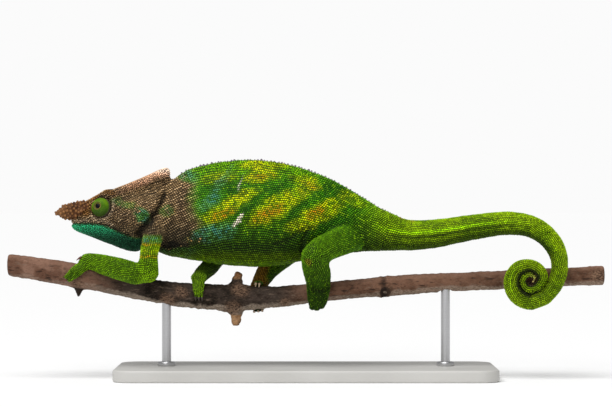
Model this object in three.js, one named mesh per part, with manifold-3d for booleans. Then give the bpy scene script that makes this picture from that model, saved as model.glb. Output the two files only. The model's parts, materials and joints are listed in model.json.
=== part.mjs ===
// A male crested Parson's chameleon at life size, walking along a cut length of branch, which two
// short rods hold over the flat base of a display stand.
// Millimetres, +Z up. The head points to -X and the animal's left side to -Y. The origin is the
// middle of the underside of the base.
import * as THREE from "three";
import { mergeVertices } from "three/addons/utils/BufferGeometryUtils.js";
import Module from "manifold-3d";

// ---------------------------------------------------------------- driving sizes
const SLIT = 0.3; // gap between neighbouring pieces
const END_SHARE = 0.6; // size of a blunt end's last ring
// Faces round each kind of piece, and rings along it.
const FACES = { body: 16, horn: 8, tail: 8, limb: 8, toe: 5, eye: 8, branch: 9, stub: 6, rod: 10 };
const RINGS = { head: 12, casque: 7, horn: 5, trunk: 14, reach: 6, coil: 8, limb: 4, branch: 22 };

// Head, as ribs from the lips to the back of the jaw. x is at the rib's middle height, half is its
// half width, widest the share of its height where it is widest, crown and chin how sharply it
// closes above and below, and lean how far its top leans back for each millimetre of height.
const HEAD = {
  at: [
    [-154.4, 104.6, 100.0, 3.2, 0.5, 0.5, 0.5, 0],
    [-152.8, 107.6, 97.6, 5.6, 0.5, 0.5, 0.5, 0],
    [-148.8, 112.0, 95.6, 8.0, 0.42, 0.55, 0.5, 0],
    [-142.6, 117.6, 93.4, 9.8, 0.4, 0.5, 0.5, 0],
    [-135.6, 121.4, 90.6, 11.2, 0.42, 0.45, 0.5, 0.02],
    [-128.0, 123.0, 88.1, 13.6, 0.4, 0.5, 0.55, 0.06],
    [-119.5, 125.4, 85.4, 16.0, 0.4, 0.6, 0.6, 0.14],
    [-110.5, 127.6, 83.4, 17.0, 0.42, 0.65, 0.6, 0.24],
    [-104.0, 128.4, 83.2, 16.2, 0.44, 0.65, 0.6, 0.32],
    [-99.5, 127.0, 85.6, 13.2, 0.46, 0.6, 0.55, 0.38],
    [-97.2, 123.0, 90.6, 8.0, 0.5, 0.5, 0.5, 0.4],
  ],
};
// The mouth slit seen from the side, from in front of the lips to behind the jaw: x, z.
const MOUTH = [
  [-162, 102.0],
  [-150, 101.9],
  [-136, 101.8],
  [-130, 100.9],
  [-122, 96.6],
  [-112, 93.2],
  [-88, 92.0],
];
// Casque, the bony helmet: a flat roof with overhanging rims that rises to the back.
const CASQUE = {
  at: [
    [-132.5, 122.8, 116.0, 6.0, 0.8, 0.3, 0.4, 0],
    [-125.0, 124.6, 116.5, 8.2, 0.84, 0.28, 0.35, 0],
    [-116.0, 128.3, 117.5, 9.2, 0.86, 0.26, 0.35, 0],
    [-107.0, 131.9, 119.5, 8.4, 0.86, 0.28, 0.35, 0],
    [-98.5, 135.9, 122.0, 5.8, 0.84, 0.32, 0.4, 0],
    [-92.6, 138.6, 126.0, 3.4, 0.78, 0.4, 0.5, 0],
    [-89.6, 136.4, 130.2, 1.7, 0.6, 0.5, 0.5, 0],
  ],
};
// Each horn on the snout, a blade from its root in the skull to its blunt tip: middle line x, y, z,
// half height, half thickness.
const HORN = [
  [-143.0, 4.4, 111.4, 5.6, 2.9],
  [-148.5, 4.9, 110.9, 5.7, 2.8],
  [-154.4, 5.8, 110.0, 5.5, 2.6],
  [-159.4, 6.9, 109.5, 4.6, 2.3],
  [-163.0, 7.8, 109.2, 3.2, 1.8],
  [-165.0, 8.3, 108.9, 1.4, 1.0],
];
// Eye turrets, and the eyeball that shows in each one's lid.
const EYE = {
  place: [-134.4, 8.9, 112.4],
  turret: 6.5,
  ball: 2.1,
  sink: 5.2, // from the turret's middle to the ball's
  gaze: [-0.36, 0.9, 0.22],
};

// Neck, trunk and root of the tail, as upright ribs.
const TRUNK = {
  at: [
    [-108, 118.0, 89.0, 10.5, 0.5, 0.6, 0.5, 0],
    [-98, 124.0, 83.2, 13.2, 0.48, 0.65, 0.5, 0],
    [-90, 130.0, 80.2, 14.6, 0.46, 0.7, 0.5, 0],
    [-80, 137.0, 78.4, 16.2, 0.44, 0.75, 0.52, 0],
    [-70, 140.5, 76.8, 17.8, 0.42, 0.8, 0.55, 0],
    [-55, 143.4, 74.6, 19.6, 0.42, 0.8, 0.55, 0],
    [-37.5, 144.6, 73.3, 20.4, 0.42, 0.8, 0.55, 0],
    [-17.5, 142.8, 74.0, 19.8, 0.43, 0.8, 0.55, 0],
    [-1, 138.4, 77.6, 18.2, 0.45, 0.78, 0.55, 0],
    [15, 132.4, 80.6, 15.8, 0.47, 0.72, 0.52, 0],
    [31, 123.6, 82.4, 12.9, 0.48, 0.66, 0.5, 0],
    [47, 113.6, 83.6, 10.8, 0.5, 0.58, 0.5, 0],
    [62, 106.3, 83.8, 9.6, 0.5, 0.5, 0.5, 0],
  ],
};
const RIB_STEP = 9; // between the rings of the trunk's pieces
// Where the neck, the trunk and the tail's root are parted: from x, to x.
const TRUNK_PIECES = [
  ["neck", -100, -84],
  ["chest", -84, -46],
  ["belly", -46, -6],
  ["pelvis", -6, 34],
  ["tail_root", 34, 62],
];

// Tail from its root to the coil: middle line x, y, z, half height, half width.
const TAIL_REACH = [
  [53, 0, 96.0, 11.9, 10.2],
  [69, -0.1, 94.2, 10.4, 9.1],
  [84, -0.6, 95.1, 9.8, 8.6],
  [100, -1.6, 97.8, 9.1, 8.1],
  [117, -3.2, 100.6, 8.5, 7.6],
  [134, -5.4, 102.2, 8.0, 7.3],
  [147.4, -7.4, 100.2, 7.6, 7.0],
  [157.6, -9.2, 94.1, 7.1, 6.6],
  [164.4, -11.0, 84.6, 6.4, 6.0],
  [166.3, -12.2, 73.2, 5.8, 5.5],
  [163.0, -12.8, 61.6, 5.4, 5.1],
  [156.2, -13.0, 53.6, 5.1, 4.8],
];
// The rolled end, a flat spiral: degrees turned clockwise from straight down, distance of the
// middle line from the centre, half thickness.
const COIL_CENTRE = [147.4, -13.0, 64.4];
const COIL = [
  [-2, 14.0, 4.95],
  [45, 13.9, 4.8],
  [90, 13.4, 4.6],
  [135, 12.3, 4.1],
  [180, 10.6, 3.5],
  [228, 9.2, 3.2],
  [268, 7.9, 3.0],
  [296, 6.2, 2.5],
  [325, 5.4, 2.3],
  [375, 5.5, 2.35],
  [435, 5.6, 2.2],
  [505, 4.7, 1.7],
  [590, 3.0, 1.3],
  [690, 1.5, 0.9],
];
const COIL_WIDTH = 0.94; // half width for each millimetre of half thickness
// Rows of the two lists above, counted together, at which the tail is parted.
const TAIL_CUTS = [3, 6, 9, 12, 15, 18, 22];

// Branch: x of the middle line, its height, radius. It swells at its nodes.
const BRANCH = [
  [-197, 74.8, 7.9],
  [-172, 71.3, 8.3],
  [-154, 68.2, 9.0],
  [-138, 65.4, 8.6],
  [-118, 60.8, 8.2],
  [-98, 57.0, 8.0],
  [-82, 54.9, 8.9],
  [-64, 53.4, 8.7],
  [-46, 52.6, 9.7],
  [-30, 52.9, 7.7],
  [-11, 54.3, 7.0],
  [25, 58.2, 6.8],
  [55, 60.8, 7.3],
  [90, 63.0, 6.8],
  [130, 64.8, 6.7],
  [170, 66.8, 6.7],
  [197, 67.8, 7.2],
];
// Stubs of broken twigs: root x, lean along x, degrees round from the top towards -Y, length from
// the branch's middle, radius at root and tip.
const STUBS = [
  { x: -151, lean: 0.1, round: 170, reach: 14.5, root: 3.6, tip: 2.2 },
  { x: -46, lean: 0.0, round: 178, reach: 18.5, root: 6.4, tip: 3.4 },
  { x: -48.5, lean: 0.25, round: 8, reach: 17.5, root: 6.0, tip: 3.2 },
];

// Stand.
const BASE = { long: 250, wide: 100, thick: 8, corner: 14, bevel: 1.5 };
const ROD = { radius: 3, socket: 4, places: [-92, 92] };

// Legs. Each part is a list of x, y, z, half depth in the side view, half thickness across it.
// y is for the animal's own side, and is mirrored for the right. The grip says how the foot holds
// the branch: where, how far round from the top towards -Y its palm and toes lie, and how far
// along the branch its toes lead.
const LEGS = {
  front_left: {
    side: -1,
    upper: [
      [-95.5, 8, 102, 8.4, 5.5],
      [-99.5, 15, 95, 7.2, 6.0],
      [-102.2, 22, 84, 6.2, 5.6],
      [-102.4, 26, 73.5, 6.9, 6.2],
    ],
    lower: [
      [-101.8, 26, 70.5, 6.8, 6.4],
      [-108.5, 23.5, 69.2, 7.4, 6.4],
      [-117, 19, 71.0, 8.0, 6.2],
      [-126.5, 14, 73.8, 7.2, 5.6],
      [-137, 8.5, 76.2, 6.5, 4.9],
    ],
    palm: { x: -142.5, round: 30, clear: 4.4, size: [7.4, 5.6, 5.0] },
    near: { toes: 2, from: [-144.2, 42], to: [-156.2, 103], thick: 2.7, spread: 4.8 },
    far: { toes: 3, from: [-141.8, 4], to: [-145.6, -98], thick: 2.1, spread: 3.4 },
  },
  front_right: {
    side: 1,
    upper: [
      [-82, 8, 101, 8.4, 5.5],
      [-75, 16, 97, 7.2, 6.0],
      [-63, 23, 91, 6.4, 5.6],
      [-56, 26, 87, 6.8, 6.0],
    ],
    lower: [
      [-56.5, 26, 85.6, 6.9, 6.2],
      [-60, 20.5, 79, 6.8, 5.8],
      [-64.6, 13, 72.4, 6.2, 5.0],
      [-69.8, 3.4, 67.6, 5.4, 4.6],
    ],
    palm: { x: -70.6, round: 8, clear: 3.8, size: [5.8, 5.4, 4.2] },
    near: { toes: 3, from: [-70.8, 22], to: [-70.4, 86], thick: 2.0, spread: 3.3 },
    far: { toes: 2, from: [-70.6, -10], to: [-69.8, -106], thick: 2.2, spread: 3.6 },
  },
  hind_left: {
    side: -1,
    upper: [
      [33, 5, 94.0, 10.2, 6.5],
      [24, 15, 90.8, 9.8, 7.4],
      [13, 25, 86.4, 9.3, 7.2],
      [5.5, 31, 82.2, 8.8, 6.8],
    ],
    lower: [
      [5.2, 31.4, 80.8, 9.0, 6.8],
      [6.6, 24, 73.0, 9.4, 6.6],
      [7.9, 16, 67, 9.1, 5.8],
      [8.2, 10.5, 63.5, 8.7, 5.2],
    ],
    palm: { x: 8.0, round: 52, clear: 4.3, size: [8.5, 5.6, 4.8] },
    near: { toes: 3, from: [8.2, 64], to: [7.2, 160], thick: 3.2, spread: 6.0 },
    far: { toes: 2, from: [8.2, 30], to: [8.0, -84], thick: 2.5, spread: 4.6 },
  },
  hind_right: {
    side: 1,
    upper: [
      [31, 5, 94.5, 10.2, 6.5],
      [19, 15, 92.5, 9.8, 7.4],
      [3, 24, 88.5, 9.2, 7.0],
      [-9, 29, 84.5, 8.6, 6.6],
    ],
    lower: [
      [-10, 29, 83.6, 8.4, 6.6],
      [-18, 23, 78, 8.4, 6.2],
      [-25.5, 17, 71, 7.4, 5.6],
      [-30.4, 10.2, 62.8, 6.0, 5.0],
    ],
    palm: { x: -31.0, round: -46, clear: 3.8, size: [6.4, 5.0, 4.4] },
    near: { toes: 2, from: [-31.2, -36], to: [-31.8, 6], thick: 1.9, spread: 3.6 },
    far: { toes: 3, from: [-31.0, -62], to: [-31.6, -152], thick: 2.4, spread: 4.2 },
  },
};
const WRIST_SHARE = 0.85; // size of the forearm where it ends in the palm
// Toes taper and draw together along their length. Each has a free tip that ends in a claw.
const TOE = { taper: 0.22, draw: 0.36, free: 1.4, claw: 1.8, point: 0.5 };

const COLOURS = {
  green: { color: 0x4c9212, roughness: 0.62 },
  brown: { color: 0x76573a, roughness: 0.7 },
  teal: { color: 0x1d7a5a, roughness: 0.6 },
  horn: { color: 0xa0683a, roughness: 0.55 },
  lid: { color: 0x5c9a14, roughness: 0.5 },
  pupil: { color: 0x0c0a08, roughness: 0.12 },
  bark: { color: 0x5c463a, roughness: 0.85 },
  paint: { color: 0xe4e2dd, roughness: 0.45 },
  steel: { color: 0xb4b6b8, roughness: 0.3, metalness: 1 },
};

// ---------------------------------------------------------------- shape tools
const wasm = await Module();
wasm.setup();

// A closed three.js geometry as a solid that can be joined and cut.
function solidOf(geometry) {
  const bare = geometry.clone();
  bare.deleteAttribute("normal");
  bare.deleteAttribute("uv");
  const merged = mergeVertices(bare, 1e-3);
  const vertProperties = merged.attributes.position.array;
  const triVerts = new Uint32Array(merged.index.array);
  return new wasm.Manifold(new wasm.Mesh({ numProp: 3, vertProperties, triVerts }));
}

// The row of numbers at t, from 0 to 1, on a smooth curve through a list of rows.
function smooth(rows, t) {
  const place = Math.min(Math.max(t, 0), 1) * (rows.length - 1);
  const i = Math.min(Math.floor(place), rows.length - 2);
  const f = place - i;
  const [b, c] = [rows[i], rows[i + 1]];
  const a = rows[i - 1] ?? b.map((v, k) => 2 * v - c[k]);
  const d = rows[i + 2] ?? c.map((v, k) => 2 * v - b[k]);
  return b.map((v, k) => {
    const slope = (c[k] - a[k]) / 2;
    const next = (d[k] - v) / 2;
    const bend = -3 * v + 3 * c[k] - 2 * slope - next;
    const twist = 2 * v - 2 * c[k] + slope + next;
    return v + f * (slope + f * (bend + f * twist));
  });
}

// t at which the first number of the rows reaches a value.
function reach(rows, value) {
  let [low, high] = [0, 1];
  for (let step = 0; step < 40; step++) {
    const middle = (low + high) / 2;
    if (smooth(rows, middle)[0] < value) low = middle;
    else high = middle;
  }
  return low;
}

// A closed cylinder whose rings are laid where place(t, angle, radius) puts them. t runs from 0 to
// 1 along it, and radius is 1 on the wall and 0 at the middle of each end.
function loft(rings, sides, place) {
  const geometry = new THREE.CylinderGeometry(1, 1, 1, sides, rings);
  const position = geometry.attributes.position;
  for (let i = 0; i < position.count; i++) {
    const [x, y, z] = [position.getX(i), position.getY(i), position.getZ(i)];
    const where = place(0.5 - y, Math.atan2(-x, z), Math.min(1, Math.hypot(x, z)));
    position.setXYZ(i, ...where);
  }
  return solidOf(geometry);
}

// A body of upright ribs, between two places along x, grown all round by some millimetres.
function ribbed({ at }, from, to, rings, grow = 0) {
  const [start, end] = [reach(at, from), reach(at, to)];
  return loft(rings, FACES.body, (t, angle, radius) => {
    const rib = smooth(at, start + (end - start) * t);
    const [x, top, bottom, half, widest, crown, chin, lean] = rib;
    const height = (1 - Math.cos(angle)) / 2;
    const swell = Math.sin(Math.PI * height ** (Math.log(0.5) / Math.log(widest)));
    const wide = Math.max(swell, 0) ** (height > widest ? crown : chin) * (half + grow);
    const middle = (top + bottom) / 2;
    const up = (height - 0.5) * (top - bottom + 2 * grow) * radius;
    return [x + lean * up, Math.sign(Math.sin(angle)) * wide * radius, middle + up];
  });
}

// A tube along rows of x, y, z, half depth, half thickness. The thickness lies across, and a blunt
// tube closes in its last ring.
function tube(rows, rings, sides, options = {}) {
  const { grow = 0, from = 0, to = 1, blunt = 0, across = [0, 1, 0] } = options;
  const level = new THREE.Vector3(...across);
  return loft(rings, sides, (t, angle, radius) => {
    const closing = (1 - t) * rings < blunt ? END_SHARE : 1;
    const s = from + (to - from) * t;
    const [x, y, z, deep, thick] = smooth(rows, s);
    const ahead = new THREE.Vector3(...smooth(rows, s + 0.01));
    const behind = new THREE.Vector3(...smooth(rows, s - 0.01));
    const along = ahead.sub(behind).normalize();
    const up = new THREE.Vector3().crossVectors(along, level).normalize();
    const side = new THREE.Vector3().crossVectors(up, along);
    return new THREE.Vector3(x, y, z)
      .addScaledVector(up, -Math.cos(angle) * (deep * closing + grow) * radius)
      .addScaledVector(side, Math.sin(angle) * (thick * closing + grow) * radius)
      .toArray();
  });
}

// A ball stretched to three half sizes, turned by a direction for its third one.
function ball(sizes, place, facing, faces) {
  const geometry = new THREE.SphereGeometry(1, faces, faces - 3);
  geometry.rotateX(Math.PI / 2);
  geometry.scale(...sizes);
  const up = new THREE.Vector3(0, 0, 1);
  const turn = new THREE.Quaternion().setFromUnitVectors(
    up,
    new THREE.Vector3(...facing).normalize(),
  );
  geometry.applyQuaternion(turn);
  geometry.translate(...place);
  return solidOf(geometry);
}

// A round bar between two points, from one radius to another.
function bar(start, end, rootRadius, tipRadius, sides) {
  const [a, b] = [new THREE.Vector3(...start), new THREE.Vector3(...end)];
  const long = a.distanceTo(b);
  const geometry = new THREE.CylinderGeometry(tipRadius, rootRadius, long, sides);
  geometry.translate(0, long / 2, 0);
  const up = new THREE.Vector3(0, 1, 0);
  const turn = new THREE.Quaternion().setFromUnitVectors(up, b.clone().sub(a).normalize());
  geometry.applyQuaternion(turn);
  geometry.translate(...start);
  return solidOf(geometry);
}

const group = new THREE.Group();

// Adds a solid to the group as a named mesh.
function add(name, solid, colour) {
  const { numProp, vertProperties, triVerts } = solid.getMesh();
  const points = new Float32Array((vertProperties.length / numProp) * 3);
  for (let i = 0; i < points.length / 3; i++) {
    points.set(vertProperties.subarray(i * numProp, i * numProp + 3), i * 3);
  }
  const geometry = new THREE.BufferGeometry();
  geometry.setAttribute("position", new THREE.BufferAttribute(points, 3));
  geometry.setIndex(new THREE.BufferAttribute(triVerts, 1));
  geometry.computeVertexNormals();
  const mesh = new THREE.Mesh(geometry, new THREE.MeshStandardMaterial(COLOURS[colour]));
  mesh.name = name;
  group.add(mesh);
}

// The largest body of a solid that a cut may have left with chips.
function largest(solid) {
  return solid.decompose().sort((a, b) => b.volume() - a.volume())[0];
}

// ---------------------------------------------------------------- branch
function branchAt(x) {
  const [, height, radius] = smooth(BRANCH, reach(BRANCH, x));
  return { height, radius };
}

// The point at a distance outside the branch's wall, degrees round from the top towards -Y.
function onBranch(x, round, clear) {
  const { height, radius } = branchAt(x);
  const angle = THREE.MathUtils.degToRad(round);
  const out = radius + clear;
  return [x, -Math.sin(angle) * out, height + Math.cos(angle) * out];
}

function branch(grow = 0) {
  return loft(RINGS.branch, FACES.branch, (t, angle, radius) => {
    const x = BRANCH[0][0] + (BRANCH.at(-1)[0] - BRANCH[0][0]) * t;
    const { height, radius: thick } = branchAt(x);
    const out = (thick + grow) * radius;
    return [x, Math.sin(angle) * out, height - Math.cos(angle) * out];
  });
}

function perch() {
  const stubs = STUBS.map(({ x, lean, round, reach: long, root, tip }) => {
    const { height, radius } = branchAt(x);
    const end = onBranch(x, round, long - radius);
    end[0] += lean * long;
    return bar([x, 0, height], end, root, tip, FACES.stub);
  });
  const wood = stubs.reduce((sum, stub) => sum.add(stub), branch());
  return ROD.places.reduce((sum, x) => sum.subtract(rod(x, SLIT)), wood);
}

// ---------------------------------------------------------------- stand
function rod(x, grow = 0) {
  const { height, radius } = branchAt(x);
  const top = height - radius + ROD.socket + grow;
  const foot = BASE.thick - ROD.socket - grow;
  return bar([x, 0, foot], [x, 0, top], ROD.radius + grow, ROD.radius + grow, FACES.rod);
}

function base() {
  const { long, wide, thick, corner, bevel } = BASE;
  const [right, back] = [long / 2 - bevel, wide / 2 - bevel];
  const outline = new THREE.Shape();
  outline.moveTo(-right + corner, -back);
  outline.lineTo(right - corner, -back);
  outline.absarc(right - corner, -back + corner, corner, -Math.PI / 2, 0);
  outline.lineTo(right, back - corner);
  outline.absarc(right - corner, back - corner, corner, 0, Math.PI / 2);
  outline.lineTo(-right + corner, back);
  outline.absarc(-right + corner, back - corner, corner, Math.PI / 2, Math.PI);
  outline.lineTo(-right, -back + corner);
  outline.absarc(-right + corner, -back + corner, corner, Math.PI, 1.5 * Math.PI);
  const plate = new THREE.ExtrudeGeometry(outline, {
    depth: thick - 2 * bevel,
    bevelThickness: bevel,
    bevelSize: bevel,
    bevelSegments: 1,
    curveSegments: 3,
  });
  plate.translate(0, 0, bevel);
  const slab = solidOf(plate);
  return ROD.places.reduce((sum, x) => sum.subtract(rod(x, SLIT)), slab);
}

add("perch_branch", perch(), "bark");
add("stand_base", base(), "paint");
ROD.places.forEach((x, i) => add(`stand_rod_${i + 1}`, rod(x), "steel"));

// ---------------------------------------------------------------- head
function wholeHead(grow = 0) {
  const [first, last] = [HEAD.at[0][0], HEAD.at.at(-1)[0]];
  return ribbed(HEAD, first, last, RINGS.head, grow);
}

// A curved sheet that follows the mouth across the whole head.
function mouthSheet() {
  const upper = MOUTH.map(([x, z]) => new THREE.Vector2(x, z + SLIT / 2));
  const lower = MOUTH.map(([x, z]) => new THREE.Vector2(x, z - SLIT / 2));
  const outline = new THREE.Shape([...lower, ...upper.reverse()]);
  const depth = 4 * Math.max(...HEAD.at.map((rib) => rib[3]));
  const sheet = new THREE.ExtrudeGeometry(outline, { depth, bevelEnabled: false });
  sheet.translate(0, 0, -depth / 2);
  sheet.rotateX(Math.PI / 2);
  return solidOf(sheet);
}

function casque(grow = 0) {
  const [first, last] = [CASQUE.at[0][0], CASQUE.at.at(-1)[0]];
  return ribbed(CASQUE, first, last, RINGS.casque, grow);
}

function horn(side, grow = 0) {
  const rows = HORN.map(([x, y, z, deep, thick]) => [x, y * side, z, deep, thick]);
  return tube(rows, RINGS.horn, FACES.horn, { grow, blunt: 1 });
}

function eyePart(side, radius, out) {
  const gaze = new THREE.Vector3(EYE.gaze[0], EYE.gaze[1] * side, EYE.gaze[2]).normalize();
  const [x, y, z] = EYE.place;
  const place = new THREE.Vector3(x, y * side, z).addScaledVector(gaze, out);
  return ball([radius, radius, radius], place.toArray(), gaze.toArray(), FACES.eye);
}

const SIDE_NAMES = { left: -1, right: 1 };

let skull = wholeHead();
for (const [name, side] of Object.entries(SIDE_NAMES)) {
  const turret = eyePart(side, EYE.turret, 0).subtract(eyePart(side, EYE.ball + SLIT, EYE.sink));
  add(`eye_turret_${name}`, largest(turret.subtract(wholeHead(SLIT * 0.5))), "lid");
  add(`eyeball_${name}`, eyePart(side, EYE.ball, EYE.sink), "pupil");
  add(`horn_${name}`, largest(horn(side).subtract(wholeHead(SLIT))), "horn");
}
skull = skull.subtract(mouthSheet());
const [cranium, jaw] = skull
  .decompose()
  .sort((a, b) => b.boundingBox().max[2] - a.boundingBox().max[2]);
add("head", cranium, "brown");
add("lower_jaw", jaw, "teal");
add("casque", largest(casque().subtract(wholeHead(SLIT))), "brown");

// ---------------------------------------------------------------- neck, trunk and tail
const headRoom = wholeHead(SLIT).add(casque(SLIT));
for (const [name, from, to] of TRUNK_PIECES) {
  const rings = Math.round((to - from) / RIB_STEP) + 1;
  const piece = ribbed(TRUNK, from + SLIT / 2, to - SLIT / 2, rings);
  add(name, name === "neck" ? largest(piece.subtract(headRoom)) : piece, "green");
}

const tailRows = [
  ...TAIL_REACH,
  ...COIL.map(([turned, distance, half]) => {
    const angle = THREE.MathUtils.degToRad(-90 - turned);
    const [x, y, z] = COIL_CENTRE;
    const place = [x + distance * Math.cos(angle), y, z + distance * Math.sin(angle)];
    return [...place, half, half * COIL_WIDTH];
  }),
];
const tailPoint = (t) => new THREE.Vector3(...smooth(tailRows, t));
// The share of the tail that half a slit takes at t.
const halfSlit = (t) => (SLIT / 2) * (0.002 / tailPoint(t - 0.001).distanceTo(tailPoint(t + 0.001)));
const tailEnd = tailRows.length - 1;
const rootEnd = TRUNK.at.at(-1)[0] + SLIT / 2;
[...TAIL_CUTS, tailEnd].forEach((row, i) => {
  const [low, high] = [(TAIL_CUTS[i - 1] ?? 0) / tailEnd, row / tailEnd];
  const [from, to] = [low && low + halfSlit(low), high - halfSlit(high)];
  const rings = row < TAIL_REACH.length ? RINGS.reach : RINGS.coil;
  const blunt = row === tailEnd ? 1 : 0;
  const length = tube(tailRows, rings, FACES.tail, { from, to, blunt });
  add(`tail_${i + 1}`, length.trimByPlane([1, 0, 0], rootEnd), "green");
});

// ---------------------------------------------------------------- legs
// A bundle of toes that skin binds together, from the palm round the branch. Only their clawed
// tips are free of each other.
function bundle({ toes, from, to, thick, spread }) {
  const degree = THREE.MathUtils.degToRad(branchAt((from[0] + to[0]) / 2).radius + thick);
  const run = new THREE.Vector2(to[0] - from[0], (to[1] - from[1]) * degree);
  const long = run.length();
  run.normalize();
  const fat = (far) => thick * (1 - TOE.taper * Math.min(far / long, 1));
  const apart = (far) => spread * (1 - TOE.draw * Math.min(far / long, 1));
  // The point at a distance along the bundle and to the side of its middle.
  const spot = (far, shift, clear) => {
    const x = from[0] + run.x * far - run.y * shift;
    const round = from[1] + (run.y * far + run.x * shift) / degree;
    return onBranch(x, round, clear + 2 * SLIT);
  };
  const rows = [0, 0.33, 0.67, 1].map((share) => {
    const far = share * long;
    const wide = fat(far) + (apart(far) * (toes - 1)) / 2;
    return [...spot(far, 0, fat(far)), fat(far), wide];
  });
  let solid = tube(rows, RINGS.limb, FACES.toe + 1, { blunt: 1, across: [1, 0, 0] });
  for (let i = 0; i < toes; i++) {
    const shift = (i - (toes - 1) / 2) * apart(long);
    const knuckle = spot(long - TOE.free, shift, fat(long));
    const point = spot(long + TOE.free + TOE.claw, shift, TOE.point);
    solid = solid.add(bar(knuckle, point, fat(long), TOE.point, FACES.toe));
  }
  return solid;
}

// A limb's two sides of a thin cut at a place, square to a direction.
function parted(solid, place, direction) {
  const normal = direction.clone().normalize();
  const offset = normal.dot(place);
  return [
    largest(solid.trimByPlane(normal.clone().negate().toArray(), SLIT / 2 - offset)),
    largest(solid.trimByPlane(normal.toArray(), offset + SLIT / 2)),
  ];
}

const wood = branch(SLIT);
const bodyRoom = ribbed(TRUNK, TRUNK.at[0][0], TRUNK.at.at(-1)[0], RINGS.trunk, SLIT);

function addLeg(name, { side, upper, lower, palm, near, far }) {
  const sided = (rows) => rows.map(([x, y, z, ...sizes]) => [x, y * side, z, ...sizes]);
  const [upperRows, lowerRows] = [sided(upper), sided(lower)];
  const spot = (rows, i) => new THREE.Vector3(...rows.at(i));
  const elbow = spot(lowerRows, 0);
  const wrist = spot(lowerRows, -1);
  const palmPlace = onBranch(palm.x, palm.round, palm.clear);
  const facing = [0, palmPlace[1], palmPlace[2] - branchAt(palm.x).height];
  const [, , , deep, thick] = lowerRows.at(-1);
  const endRows = [...lowerRows, [...palmPlace, deep * WRIST_SHARE, thick * WRIST_SHARE]];
  const grown = (grow) => {
    const size = palm.size.map((half) => half + grow);
    const hand = ball(size, palmPlace, facing, FACES.limb);
    return tube(endRows, RINGS.limb, FACES.limb, { grow }).add(hand);
  };
  const [, , , high, wide] = lowerRows[0];
  const joint = ball([high, wide, high], elbow.toArray(), [0, 0, 1], FACES.limb);
  const whole = tube(upperRows, RINGS.limb, FACES.limb).add(joint).add(grown(0));
  const bend = elbow.clone().sub(spot(upperRows, -2)).normalize();
  bend.add(spot(lowerRows, 1).sub(elbow).normalize());
  const [top, rest] = parted(whole, elbow, bend);
  const reachOut = new THREE.Vector3(...palmPlace).sub(spot(lowerRows, -2));
  const [middle, end] = parted(rest, wrist, reachOut);
  const [upperName, lowerName, endName] = name.startsWith("front")
    ? ["upper_arm", "forearm", "hand"]
    : ["thigh", "shank", "foot"];
  add(`${upperName}_${name}`, largest(top.subtract(bodyRoom).subtract(headRoom)), "green");
  add(`${lowerName}_${name}`, middle, "green");
  add(`${endName}_${name}`, largest(end.subtract(wood)), "green");
  const room = grown(SLIT);
  add(`toes_near_${name}`, largest(bundle(near).subtract(room)), "green");
  add(`toes_far_${name}`, largest(bundle(far).subtract(room)), "green");
}

Object.entries(LEGS).forEach(([name, leg]) => addLeg(name, leg));

export default group;
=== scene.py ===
import json
import math

import bpy
import numpy as np
from mathutils import Matrix, Vector, bvhtree, kdtree, noise

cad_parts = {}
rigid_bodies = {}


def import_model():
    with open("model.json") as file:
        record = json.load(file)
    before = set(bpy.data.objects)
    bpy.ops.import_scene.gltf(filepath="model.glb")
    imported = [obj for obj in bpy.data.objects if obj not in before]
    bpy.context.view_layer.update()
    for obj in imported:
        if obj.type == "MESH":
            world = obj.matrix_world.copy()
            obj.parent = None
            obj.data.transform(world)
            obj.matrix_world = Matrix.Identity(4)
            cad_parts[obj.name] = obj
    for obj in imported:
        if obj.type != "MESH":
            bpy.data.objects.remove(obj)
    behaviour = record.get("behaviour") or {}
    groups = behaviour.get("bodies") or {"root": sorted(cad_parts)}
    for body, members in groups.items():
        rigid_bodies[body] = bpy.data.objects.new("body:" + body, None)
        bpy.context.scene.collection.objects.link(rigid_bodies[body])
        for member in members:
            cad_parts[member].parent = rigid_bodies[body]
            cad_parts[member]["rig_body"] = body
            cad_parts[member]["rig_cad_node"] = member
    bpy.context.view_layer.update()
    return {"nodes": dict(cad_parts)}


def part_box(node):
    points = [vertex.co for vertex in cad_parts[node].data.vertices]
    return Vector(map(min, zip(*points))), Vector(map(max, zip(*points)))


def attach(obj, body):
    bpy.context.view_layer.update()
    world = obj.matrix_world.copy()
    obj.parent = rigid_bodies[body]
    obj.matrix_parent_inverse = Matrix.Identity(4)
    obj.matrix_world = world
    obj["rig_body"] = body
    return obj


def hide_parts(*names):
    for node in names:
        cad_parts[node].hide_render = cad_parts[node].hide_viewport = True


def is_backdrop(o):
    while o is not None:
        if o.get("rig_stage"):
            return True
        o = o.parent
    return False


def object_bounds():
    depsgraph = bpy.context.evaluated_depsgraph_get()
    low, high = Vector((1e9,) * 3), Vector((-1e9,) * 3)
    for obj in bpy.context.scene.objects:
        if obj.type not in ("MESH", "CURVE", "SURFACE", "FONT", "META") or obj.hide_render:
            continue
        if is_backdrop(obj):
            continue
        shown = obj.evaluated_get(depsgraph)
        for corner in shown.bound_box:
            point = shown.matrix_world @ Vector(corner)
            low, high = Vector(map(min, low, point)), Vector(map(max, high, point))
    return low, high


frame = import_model()
mm = 0.001

# ------------------------------------------------------------------ studio
# A plain white floor under an even white sky, with a broad soft lamp overhead and one in front.
# The camera has a long lens, stands level and looks square at the animal's left side.
bpy.ops.object.select_all(action="DESELECT")
view_wide, view_high, floor_row = 612, 407, 378
view_scale = 0.66 * mm
lens, sensor = 150.0, 36.0
eye_level = (floor_row - view_high / 2) * view_scale
stand_back = lens / sensor * view_wide * view_scale
bpy.ops.object.camera_add(location=(0, -stand_back, eye_level), rotation=(math.pi / 2, 0, 0))
camera = bpy.context.object
camera.data.lens = lens
camera.data.sensor_width = sensor
camera.data.clip_start = 0.05
camera.data.clip_end = 30.0
bpy.context.scene.camera = camera

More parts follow.
